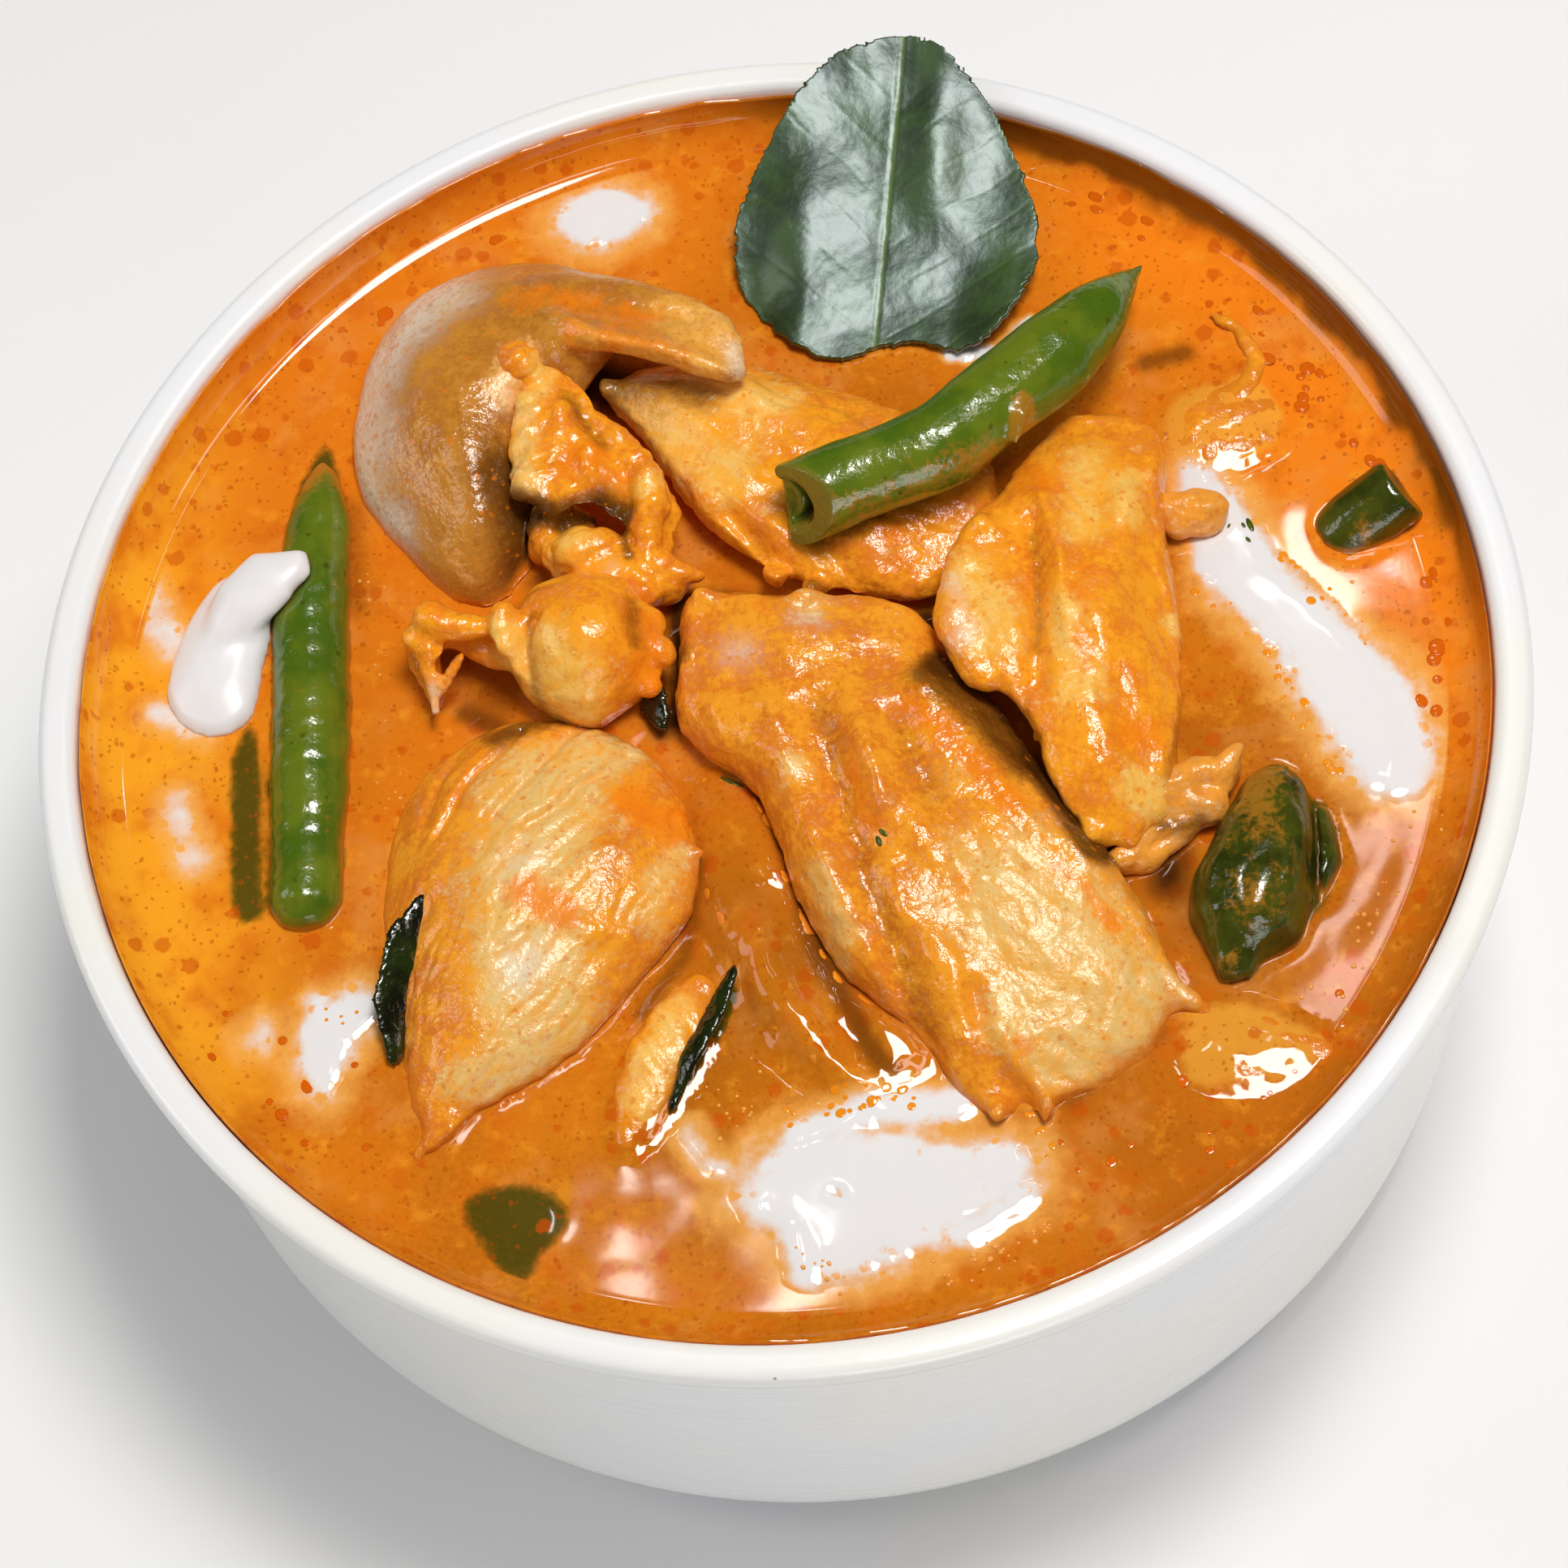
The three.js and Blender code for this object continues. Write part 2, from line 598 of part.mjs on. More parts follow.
// Each piece is cut to make room for the ones before it, so the list runs from the top down.
const PIECES = [
  ['bean_top', LOOKS.bean, beanTop()],
  ['lime_leaf', LOOKS.leaf, limeLeaf()],
  ['cream_dollop', LOOKS.cream, creamDollop()],
  ['chicken_crinkle', LOOKS.chicken, chickenCrinkle()],
  ['chicken_fold', LOOKS.chicken, chickenFold()],
  ['chicken_lump', LOOKS.chicken, chickenLump()],
  ['chicken_right', LOOKS.chicken, chickenRight()],
  ['chilli_right', LOOKS.bean, chilliRight()],
  ['chicken_shreds', LOOKS.chicken, chickenShreds()],
  ['chicken_nub', LOOKS.chicken, chickenNub()],
  ['leaf_left', LOOKS.leaf, leafShred([[-40, -18.6, 62.4], [-42.4, -23.4, 61.6], [-45, -29, 60.4], [-46.2, -36.4, 58.4]],
    2.9, -0.6)],
  ['leaf_front', LOOKS.leaf, leafShred([[-9.3, -32.6, 61.4], [-12, -37, 61], [-15.4, -41.4, 60.4],
    [-18.6, -47, 58.8]], 1.4, 0.5)],
  ['leaf_middle', LOOKS.leaf, leafShred([[-14.6, 6.4, 59.6], [-13.9, 1.8, 60.2], [-12.9, -3.4, 60]], 2, 0.5)],
  ['chicken_centre', LOOKS.chicken, chickenCentre()],
  ['chicken_back', LOOKS.chicken, chickenBack()],
  ['chicken_left', LOOKS.chicken, chickenLeft()],
  ['chicken_strip', LOOKS.sauced, chickenStrip()],
  ['chicken_under', LOOKS.sauced, chickenUnder()],
  ['chicken_flake_right', LOOKS.sauced, chickenFlakeRight()],
  ['chicken_flake_back', LOOKS.sauced, chickenFlakeBack()],
  ['bean_left', LOOKS.bean, beanLeft()],
  ['bean_left_thin', LOOKS.bean, beanLeftThin()],
  ['bean_right', LOOKS.bean, beanRight()],
  ['chilli_right_back', LOOKS.bean, chilliRightBack()],
  ['bean_sunk', LOOKS.bean, beanSunk()],
  ['cream_right', LOOKS.cream, creamRight()],
  ['cream_front', LOOKS.cream, pool(CREAM_FRONT, [0, -59])],
  ['cream_back', LOOKS.cream, pool(CREAM_BACK, [-11, 66])],
  ['cream_smear', LOOKS.cream, pool(CREAM_SMEAR, [-51.5, -32])],
  ['curry', LOOKS.curry, [soup]],
];

const join = (solids) => solids.reduce((all, solid) => all.add(solid));

const part = new THREE.Group();

function place(name, geometry, look) {
  const mesh = new THREE.Mesh(geometry, new THREE.MeshStandardMaterial({ ...look, metalness: 0 }));
  mesh.name = name;
  part.add(mesh);
}

place('bowl', bowl(), LOOKS.ceramic);
let taken = null;
for (const [name, look, forms] of PIECES) {
  let solid = join(forms.map((form) => toSolid(form(0))));
  if (taken) solid = solid.subtract(taken);
  place(name, toGeometry(largest(solid)), look);
  const room = join(forms.map((form) => toSolid(form(ROOM))));
  taken = taken ? taken.add(room) : room;
}

export default part;
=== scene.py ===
# %% [markdown]
# # A bowl of panang curry
#
# The object is a white stoneware bowl, filled to just under its lip with an oily orange curry.
# Slices of chicken, green beans, green chillies, a lime leaf and coconut cream lie in it.
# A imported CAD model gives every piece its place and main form. This script keeps those places
# and gives each piece the surface that the food and the glaze really have.

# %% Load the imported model
import math

import bmesh
import bpy
import numpy as np
from mathutils import Matrix, Vector
from mathutils.bvhtree import BVHTree


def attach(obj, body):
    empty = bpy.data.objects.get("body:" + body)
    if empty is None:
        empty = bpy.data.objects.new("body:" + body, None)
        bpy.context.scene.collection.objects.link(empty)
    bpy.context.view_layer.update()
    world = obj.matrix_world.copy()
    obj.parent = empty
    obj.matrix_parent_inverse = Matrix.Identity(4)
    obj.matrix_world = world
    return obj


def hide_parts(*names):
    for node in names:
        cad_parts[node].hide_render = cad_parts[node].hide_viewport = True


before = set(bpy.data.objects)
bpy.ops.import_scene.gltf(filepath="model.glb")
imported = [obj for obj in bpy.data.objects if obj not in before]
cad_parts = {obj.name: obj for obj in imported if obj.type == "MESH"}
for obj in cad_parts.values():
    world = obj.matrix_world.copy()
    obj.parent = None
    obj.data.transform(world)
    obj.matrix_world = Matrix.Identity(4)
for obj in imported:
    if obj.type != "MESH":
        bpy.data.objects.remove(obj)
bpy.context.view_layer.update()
MM = 0.001
SOUP = 58.0  # level of the soup above the table, mm

# %% [markdown]
# ## Camera
#
# The bowl is seen from above its near side, from far enough away that its rim is almost a
# circle. A long lens does that. The camera is rolled by about ten degrees, so its three axes are
# given as vectors: a camera looks along its own -Z, and a matrix made of right, up and back turns
# it exactly.

# %% Camera
camera_data = bpy.data.cameras.new("camera")
camera_data.lens = 96.77
camera_data.sensor_width = 36
camera = bpy.data.objects.new("camera", camera_data)
bpy.context.scene.collection.objects.link(camera)
EYE = Vector((0, -0.22044, 0.45631))
RIGHT = Vector((0.98514, -0.15070, -0.08239))
UP = Vector((0.17172, 0.87228, 0.45787))
BACK = Vector((0.00287, -0.46521, 0.88520))
camera.matrix_world = Matrix.Translation(EYE) @ Matrix((RIGHT, UP, BACK)).transposed().to_4x4()
bpy.context.scene.camera = camera
print("camera above the table, mm:", round(EYE.z / MM))

# %% [markdown]
# ## Light and floor
#
# Food shines because its wet surfaces mirror the lamps, so the place of each lamp decides where
# the highlights fall. One soft box overhead, a little to the right, is the main light. A long
# thin one beside it is mirrored where the curry climbs the wall at the back left, as one long
# arc. Small ones are hung exactly where the flat soup mirrors them at a chosen spot: light leaves
# a mirror at the angle at which it came, so the line to the lamp is the line from the eye's own
# mirror image. The sky is kept out of reflections, because it would lay a pale veil on the curry.

# %% Lamps
MIDDLE = Vector((0, 0, 0.06))


def softbox(name, place, size, watts, colour, along=(1, 0, 0)):
    """A rectangular area lamp at a place, facing the bowl, its long side lying along a direction."""
    data = bpy.data.lights.new(name, "AREA")
    data.shape = "RECTANGLE"
    data.size, data.size_y = size
    data.energy = watts
    data.color = colour
    lamp = bpy.data.objects.new(name, data)
    away = (Vector(place) - MIDDLE).normalized()
    across = away.cross(Vector(along)).normalized()
    turned = Matrix((across.cross(away), across, away)).transposed().to_4x4()
    lamp.matrix_world = Matrix.Translation(place) @ turned
    bpy.context.scene.collection.objects.link(lamp)
    print(name, "radiance:", round(watts / (math.pi * size[0] * size[1]), 1))


def from_middle(towards, distance):
    return MIDDLE + Vector(towards).normalized() * distance


def mirrored_at(x, y, lamp_height=0.76):
    """Where a lamp hangs that the flat soup mirrors to the camera at x, y in mm."""
    spot = Vector((x, y, SOUP)) * MM
    eye_below = Vector((EYE.x, EYE.y, 2 * spot.z - EYE.z))
    return spot + (spot - eye_below) * (lamp_height - spot.z) / (spot.z - eye_below.z)


WARM, PINK = (1.0, 0.985, 0.955), (1.0, 0.86, 0.82)
softbox("lamp_overhead", (0.15, 0.04, 0.79), (0.2, 0.2), 3.5, WARM)
softbox("lamp_tube", from_middle((0.36, -0.09, 0.93), 0.95), (0.7, 0.07), 1.2, PINK, (0.53, 0.42, -0.16))
softbox("lamp_left", from_middle((-0.8, 0.1, 0.6), 0.8), (0.3, 0.3), 0.75, WARM)
softbox("lamp_wall", from_middle((0.1, -0.95, 0.12), 1.1), (0.6, 0.4), 2.2, (1, 1, 1))
softbox("lamp_strip", mirrored_at(58, -37), (0.075, 0.013), 0.035, PINK, (13.5, 18.8, 0))
softbox("lamp_front", mirrored_at(-24.0, -60.6), (0.03, 0.012), 0.022, WARM, (0.3, 1, 0))
softbox("lamp_front_low", mirrored_at(-9, -66.8), (0.03, 0.014), 0.028, WARM, (0.5, 1, 0))
softbox("lamp_stub", mirrored_at(62, 3.8), (0.04, 0.012), 0.04, WARM, (1, -0.3, 0))

world = bpy.data.worlds.new("studio")
world.use_nodes = True
world.node_tree.nodes["Background"].inputs["Color"].default_value = (0.93, 0.96, 1.0, 1)
world.node_tree.nodes["Background"].inputs["Strength"].default_value = 0.24
world.cycles_visibility.glossy = False
bpy.context.scene.world = world
bpy.context.scene.view_settings.view_transform = "Standard"


# %% Floor
def mesh_from(form, name):
    """Turns a finished bmesh into a mesh."""
    mesh = bpy.data.meshes.new(name)
    form.to_mesh(mesh)
    form.free()
    return mesh


floor_form = bmesh.new()
bmesh.ops.create_grid(floor_form, x_segments=1, y_segments=1, size=4)
bmesh.ops.translate(floor_form, verts=floor_form.verts, vec=(0, 0, -0.0002))
floor = bpy.data.objects.new("floor", mesh_from(floor_form, "floor"))
bpy.context.scene.collection.objects.link(floor)

# %% [markdown]
# ## Ways to make meshes
#
# Every piece is worked on in millimetres. The food starts as a copy of its CAD solid. Torn meat
# also has knobs and loose strands, which are small spheres pushed into the copy. A voxel remesh
# then fuses everything into one even skin, which is smoothed and subdivided. Then each point of
# the skin is moved by a height, as a sculptor would press it in or build it up. The heights come
# from a gradient noise that is worked out for all points at once, which is far quicker than
# asking for one point after another, and from soft strokes drawn one by one.

# %% Points of a mesh, in millimetres
def points_of(mesh):
    values = np.empty(len(mesh.vertices) * 3, np.float32)
    mesh.vertices.foreach_get("co", values)
    return values.reshape(-1, 3).astype(float) / MM


def normals_of(mesh):
    values = np.empty(len(mesh.vertices) * 3, np.float32)
    mesh.vertex_normals.foreach_get("vector", values)
    return values.reshape(-1, 3).astype(float)


def move_points(mesh, points):
    mesh.vertices.foreach_set("co", (points * MM).astype(np.float32).ravel())
    mesh.update()


def paint(mesh, name, values):
    """Stores one number per vertex, which a material can read by that name."""
    layer = mesh.attributes.new(name, "FLOAT", "POINT")
    layer.data.foreach_set("value", np.asarray(values, np.float32))


def step(low, high, values):
    """0 below low, 1 above high and a smooth rise between them."""
    share = np.clip((values - low) / (high - low), 0, 1)
    return share * share * (3 - 2 * share)


# %% Noise for sculpting
dice = np.random.default_rng(4)
SHUFFLE = dice.permutation(256)
SLOPES = dice.normal(size=(256, 3))
SLOPES /= np.linalg.norm(SLOPES, axis=1, keepdims=True)


def swell(points, size, layer=0):
    """Smooth humps and hollows from -1 to 1. size is their length in mm, or one for each axis."""
    scaled = points / np.asarray(size, float) + 17.31 * layer
    cell = np.floor(scaled).astype(int)
    inside = scaled - cell
    ease = inside**3 * (inside * (inside * 6 - 15) + 10)
    height = np.zeros(len(points))
    for corner in np.ndindex(2, 2, 2):
        x, y, z = ((cell + corner) & 255).T
        pick = SHUFFLE[(SHUFFLE[(SHUFFLE[x] + y) & 255] + z) & 255]
        weight = np.prod(np.where(corner, ease, 1 - ease), axis=1)
        height += weight * np.einsum("ij,ij->i", SLOPES[pick], inside - corner)
    return 1.6 * height


def bundles(points, size, layer=0):
    """Rounded ridges with sharp creases between them, from -1 in a crease to 1, as in meat."""
    return 2 * np.minimum(1, 1.7 * np.abs(swell(points, size, layer))) - 1


def along_grain(points, degrees):
    """The same points in axes that run along, across and above a grain direction."""
    c, s = math.cos(math.radians(degrees)), math.sin(math.radians(degrees))
    x, y, z = points.T
    return np.stack([c * x + s * y, c * y - s * x, z], axis=1)


# %% Strokes, and how they are written down
def strokes(points, lines):
    """Adds up soft strokes. Each line is an amount, a width in mm and then its points' x and y."""
    height = np.zeros(len(points))
    flat = points[:, :2]
    for amount, width, *course in lines:
        knots = np.array(course, float).reshape(-1, 2)
        if len(knots) == 1:
            knots = np.repeat(knots, 2, axis=0)
        away = np.full(len(points), 1e9)
        for start, stop in zip(knots, knots[1:]):
            run = stop - start
            share = np.clip((flat - start) @ run / max(run @ run, 1e-9), 0, 1)
            away = np.minimum(away, np.linalg.norm(flat - start - share[:, None] * run, axis=1))
        height += amount * np.exp(-((away / width) ** 2))
    return height


def rows(text):
    """A list of numbers for each line of a text."""
    return [[float(number) for number in line.split()] for line in text.strip().split("\n")]


def table(text):
    """Rows of numbers for each piece. A block is the piece's name, and then its rows."""
    blocks = [block.split("\n", 1) for block in text.strip().split("\n\n")]
    return {name: rows(numbers) for name, numbers in blocks}


# %% Skins over the CAD solids
def strand(stops):
    """Knobs in a row, so close that they fuse. Each stop is x, y, z and a radius, in mm."""
    knobs = []
    for start, stop in zip(stops, stops[1:]):
        count = max(1, int(np.linalg.norm((stop - start)[:3]) / (0.5 * min(start[3], stop[3]))))
        knobs += [start + (stop - start) * i / count for i in range(count)]
    return [*knobs, stops[-1]]


def add_piece(name, mesh):
    mesh.shade_smooth()
    piece = bpy.data.objects.new(name, mesh)
    bpy.context.scene.collection.objects.link(piece)
    return piece


def applied(piece):
    """The mesh that a piece has after its modifiers; the piece itself is taken away."""
    view = bpy.context.evaluated_depsgraph_get()
    mesh = bpy.data.meshes.new_from_object(piece.evaluated_get(view))
    bpy.data.objects.remove(piece)
    mesh.materials.clear()
    return mesh


def skin(name, node, voxel, relax, levels, knobs=(), swollen=0):
    """A fine, smooth, closed copy of a CAD node with knobs fused on; a thin one is swollen first."""
    form = bmesh.new()
    form.from_mesh(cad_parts[node].data)
    bmesh.ops.remove_doubles(form, verts=form.verts, dist=1e-7)
    form.normal_update()
    for vert in form.verts:
        vert.co += vert.normal * swollen * MM
    for row in knobs:
        for x, y, z, radius in strand(np.reshape(row, (-1, 4))):
            spot = Matrix.Translation(Vector((x, y, z)) * MM)
            bmesh.ops.create_icosphere(form, subdivisions=2, radius=radius * MM, matrix=spot)
    rough = add_piece(name, mesh_from(form, name))
    remesh = rough.modifiers.new("even", "REMESH")
    remesh.mode = "VOXEL"
    remesh.voxel_size = voxel * MM
    smooth = rough.modifiers.new("relax", "SMOOTH")
    smooth.factor = 0.5
    smooth.iterations = relax
    if levels:
        finer = rough.modifiers.new("finer", "SUBSURF")
        finer.levels = finer.render_levels = levels
    return add_piece(name, applied(rough))


def place(piece, slot, look, *nodes):
    """Gives a finished piece its material, and its place in the frame."""
    piece.data.materials.clear()
    piece.data.materials.append(look)
    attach(piece, "root")
    if nodes:
        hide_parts(*nodes)
    print(piece.name, "faces:", len(piece.data.polygons))


# %% [markdown]
# ## Ways to make materials
#
# A material is a tree of shader nodes. The helpers below add a node to the tree that was begun
# last, set its sockets by name and join it in one line. Colours are given as the linear values
# that Blender stores. All patterns read Object coordinates, turned into millimetres, so a size in
# a material is a real size.

# %% Short ways to add shader nodes
tree = None  # the tree that the helpers add to


def join(value, socket):
    """Links another socket to this one, or sets this one to a constant."""
    if isinstance(value, bpy.types.NodeSocket):
        tree.links.new(value, socket)
    elif value is not None:
        socket.default_value = value


def add(kind, *values, **named):
    """Adds a shader node; values fill its sockets in order, named ones by name or as settings."""
    node = tree.nodes.new("ShaderNode" + kind)
    wanted = list(zip(values, node.inputs))
    for key, value in named.items():
        if key in node.bl_rna.properties:
            setattr(node, key, value)
        else:
            wanted.append((value, node.inputs[key.replace("_", " ")]))
    for value, socket in wanted:
        join(value, socket)
    return node


def maths(operation, *values):
    return add("Math", *values, operation=operation).outputs[0]


def times(first, second):
    return maths("MULTIPLY", first, second)


def total(*values):
    """The sum of some sockets."""
    result = values[0]
    for value in values[1:]:
        result = maths("ADD", result, value)
    return result


def around(value, scale, middle=0.5):
    """How far a value is from the middle, times a scale."""
    return times(maths("SUBTRACT", value, middle), scale)


def between(value, low, high):
    """0 at low, 1 at high, smooth between; low may be the greater one."""
    return add("MapRange", value, low, high, interpolation_type="SMOOTHSTEP").outputs[0]


def tint(share, first, second):
    """A blend of two colours."""
    node = tree.nodes.new("ShaderNodeMix")
    node.data_type = "RGBA"
    join(share, node.inputs[0])
    for value, socket in ((first, node.inputs[6]), (second, node.inputs[7])):
        join((*value, 1) if isinstance(value, tuple) else value, socket)
    return node.outputs[2]


def coats(colour, *layers):
    """Lays tones over a colour. A layer is a mask, how strong it gets and its tone."""
    for mask, strength, tone in layers:
        colour = tint(mask if strength == 1 else times(mask, strength), colour, tone)
    return colour


def cloud(spot, size, detail=3, roughness=0.55, stretch=None):
    """Noise from 0 to 1 with features of that size in mm, drawn out along axes by stretch."""
    if stretch:
        spot = add("Mapping", Vector=spot, Scale=stretch).outputs[0]
    noise = add("TexNoise", Vector=spot, Scale=1 / size, Detail=detail, Roughness=roughness)
    return noise.outputs["Fac"]


def painted(name):
    return add("Attribute", attribute_name=name).outputs["Fac"]


def new_look(name, **fixed):
    """Begins a material. Its constant values are set on the shader's own sockets."""
    global tree
    look = bpy.data.materials.new(name)
    look.use_nodes = True
    tree = look.node_tree
    for key, value in fixed.items():
        shade_with(key.replace("_", " "), value)
    object_place = add("TexCoord").outputs["Object"]
    return look, add("VectorMath", object_place, operation="SCALE", Scale=1 / MM).outputs[0]


def shade_with(name, value):
    """Gives a value to a socket of the material's own shader."""
    join(value, tree.nodes["Principled BSDF"].inputs[name])


# %% [markdown]
# ## Effects that several materials share
#
# Chilli and spice are in everything here: the soup, the meat and the beans all carry the same
# small specks. Sauce clings to whatever stands in the soup. Both effects are shader node
# groups, made once with named sockets, and each material gives them its own sizes. The groups
# put out masks and normals only, and the shader that uses them stays in the material.

# %% Node groups
def new_group(name, result, kind, **numbers):
    """Begins a group with a place, some numbers and one result."""
    global tree
    tree = bpy.data.node_groups.new(name, "ShaderNodeTree")
    sockets = tree.interface
    sockets.new_socket("Spot", in_out="INPUT", socket_type="NodeSocketVector")
    for label, value in numbers.items():
        sockets.new_socket(label, in_out="INPUT", socket_type="NodeSocketFloat").default_value = value
    sockets.new_socket(result, in_out="OUTPUT", socket_type=kind)
    start = tree.nodes.new("NodeGroupInput").outputs
    return tree, start, tree.nodes.new("NodeGroupOutput").inputs[0]


def use_group(group, **named):
    node = tree.nodes.new("ShaderNodeGroup")
    node.node_tree = group
    for key, value in named.items():
        join(value, node.inputs[key])
    return node.outputs[0]


def size_noise(start, size, detail):
    scale = maths("DIVIDE", 1.0, size)
    return add("TexNoise", Vector=start["Spot"], Scale=scale, Detail=detail).outputs["Fac"]


# %% Specks: one in each cell of a Voronoi pattern, kept only in a share of the cells
specks, start, end = new_group("specks", "Mask", "NodeSocketFloat", Spacing=2.0, Size=0.2, Share=0.5)
wobble = add("TexNoise", Vector=start["Spot"], Scale=1.3, Detail=1).outputs["Color"]
moved = add("VectorMath", wobble, (0.7, 0.7, 0.7), operation="MULTIPLY").outputs[0]
moved = add("VectorMath", start["Spot"], moved, operation="ADD").outputs[0]
cells = add("TexVoronoi", Vector=moved, Scale=maths("DIVIDE", 1.0, start["Spacing"])).outputs
lot = add("SeparateColor", cells["Color"]).outputs
radius = times(start["Size"], maths("ADD", 0.4, lot["Green"]))
inside = between(maths("SUBTRACT", radius, cells["Distance"]), -0.02, 0.08)
join(times(inside, maths("LESS_THAN", lot["Red"], start["Share"])), end)

# %% Sauce line: where a piece comes out of the soup it is coated, higher here and lower there
sauce_line, start, end = new_group("sauce_line", "Mask", "NodeSocketFloat", Reach=1.5, Blotch=4.0)
height = maths("SUBTRACT", add("SeparateXYZ", start["Spot"]).outputs["Z"], SOUP)
reach = times(start["Reach"], times(size_noise(start, start["Blotch"], 3), 2.0))
join(between(height, reach, times(reach, 0.1)), end)

# %% Wet bump: the fine unevenness of a wet surface, which breaks its highlights up
wet_bump, start, end = new_group(
    "wet_bump", "Normal", "NodeSocketVector", Size=0.5, Height=0.02, Detail=3.0)
grain = size_noise(start, start["Size"], start["Detail"])
join(add("Bump", Height=times(grain, start["Height"]), Distance=MM).outputs["Normal"], end)


def finish_wet(spot, colour, size, height, detail=3.0):
    """Gives the shader its colour and the unevenness of a wet surface."""
    shade_with("Base Color", colour)
    shade_with("Normal", use_group(wet_bump, Spot=spot, Size=size, Height=height, Detail=detail))


print("groups:", [group.name for group in bpy.data.node_groups])

# %% [markdown]
# ## The bowl
#
# The bowl was thrown on a wheel and glazed white. A turned thing is a profile turned about its
# axis, so its CAD solid of 60 flat sides is replaced by one of 192 steps. The Screw modifier
# turns the profile, because it is much faster than the spin operator on the fine soup that
# follows. The profile keeps the stepped lip with a thin groove under it, and a foot ring's flat.
# Wheel marks run round the outer wall: they are a very low relief, drawn in the material.

# %% Bowl profile and turning
def arc(x, z, radius, first, last, steps):
    turns = [math.radians(first + (last - first) * i / steps) for i in range(steps + 1)]
    return [(x + radius * math.cos(t), z + radius * math.sin(t)) for t in turns]


def wall_inside(z):
    """Radius of the bowl's inner wall at a height."""
    return 72.5 + 3.5 * (z - 15) / 49


BOWL_PROFILE = [
    (0, 0), (40, 0), (58, 0), *arc(61.1, 15, 15, -90, 0, 14), (77.3, 40), (78.55, 58.6), (78.6, 59.3),
    (78.45, 59.7), (78.6, 60.1), (79.1, 60.2), *arc(79.1, 60.9, 0.7, -90, 0, 4), (79.9, 61.6),
    *arc(78.7, 62.7, 1.3, 10, 90, 6), *arc(77.4, 62.6, 1.4, 90, 180, 8), (wall_inside(60.5), 60.5),
    (wall_inside(40), 40), *arc(59.5, 17.5, 13, 0, -90, 12), (30, 4.5), (0, 4.5),
]


def turned(name, profile, steps):
    """Turns a profile, in mm, about the Z axis into a closed body."""
    form = bmesh.new()
    row = [form.verts.new((x * MM, 0, z * MM)) for x, z in profile]
    for pair in zip(row, row[1:]):
        form.edges.new(pair)
    piece = add_piece(name, mesh_from(form, name))
    turn = piece.modifiers.new("turn", "SCREW")
    turn.axis = "Z"
    turn.angle = 2 * math.pi
    turn.steps = turn.render_steps = steps
    turn.use_merge_vertices = True
    turn.merge_threshold = 1e-6
    mesh = applied(piece)
    form = bmesh.new()
    form.from_mesh(mesh)
    bmesh.ops.remove_doubles(form, verts=form.verts, dist=1e-6)
    bmesh.ops.dissolve_degenerate(form, edges=form.edges, dist=1e-7)
    bmesh.ops.recalc_face_normals(form, faces=form.faces)
    form.to_mesh(mesh)
    form.free()
    return add_piece(name, mesh)


bowl = turned("bowl_glazed", BOWL_PROFILE, 192)

# %% Glaze
glaze, spot = new_look("white_glaze", Roughness=0.2, Specular_IOR_Level=0.6)
x, y, z = add("SeparateXYZ", spot).outputs
cast = between(cloud(spot, 38, 2), 0.38, 0.62)
rings = cloud(spot, 1.0, 4, 0.6, (0.02, 0.02, 2.6))
groove = between(maths("ABSOLUTE", maths("SUBTRACT", z, 60.35)), 0.3, 0.05)
colour = coats(
    tint(cast, (0.91, 0.915, 0.93), (0.93, 0.92, 0.86)),
    (between(rings, 0.5, 0.75), 0.22, (0.62, 0.62, 0.62)),
    (times(groove, cloud(spot, 9, 2)), 1, (0.50, 0.38, 0.20)))
for centre, size in (((-21.9, -77.3, 63.9), 0.35), ((-12.1, -78.9, 63.6), 0.3)):
    away = add("VectorMath", spot, centre, operation="DISTANCE").outputs["Value"]
    colour = tint(between(away, size, size * 0.4), colour, (0.30, 0.16, 0.07))
shade_with("Base Color", colour)
relief = total(times(rings, 0.05), times(cloud(spot, 5, 2), 0.06))
shade_with("Normal", add("Bump", Height=relief, Distance=MM).outputs["Normal"])
place(bowl, "bowl", glaze, "bowl")

# %% [markdown]
# ## Chicken
#
# The slices are cooked breast and thigh, cut across and along the grain. Their surface is made
# of bundles of fibre with creases between them, and torn edges end in knobs and loose strands.
# A slice is sculpted in two ways. Layers of noise, stretched along the grain, give the fibres and
# the soft swellings. Strokes give what is particular to each slice: its long ridges, folded lips
# and hollows. More strokes paint bare flesh, fat, gathered orange oil and painted shade in the
# crevices and under overhanging edges, and the material reads them. The strokes are kept as plain tables.

# %% Sculpting
def sculpt(piece, degrees, layers, relief=(), plump=0.15, seed=0):
    """Moves the skin by the layers and, on its upper side, by the strokes of relief."""
    mesh = piece.data
    points = points_of(mesh)
    upright = normals_of(mesh)
    warp = np.stack([swell(points, 6, seed + 40 + i) for i in range(3)], axis=1)
    grain = along_grain(points, degrees) + 0.9 * warp
    height = np.full(len(points), float(plump))
    for kind, length, width, tall in layers:
        height += tall * kind(grain, (length, width, width), seed)
        seed += 1
    moved = points + 0.7 * warp
    drawn = strokes(moved, relief) * step(-0.1, 0.6, upright[:, 2])
    points += upright * height[:, None]
    points[:, 2] += drawn
    move_points(mesh, points)
    layer = mesh.attributes.new("grain", "FLOAT_VECTOR", "POINT")
    layer.data.foreach_set("vector", grain.astype(np.float32).ravel())
    return moved


# %% The grain and the fibre of each slice
BROAD, FIBRE, GRIT = (swell, 10, 6, 0.4), (bundles, 9, 2.0, 0.08), (swell, 2.0, 1.5, 0.13)
CRINKLE = [(swell, 5, 4, 0.4), (swell, 2.4, 2.0, 0.3), (bundles, 3.0, 1.9, 0.13)]

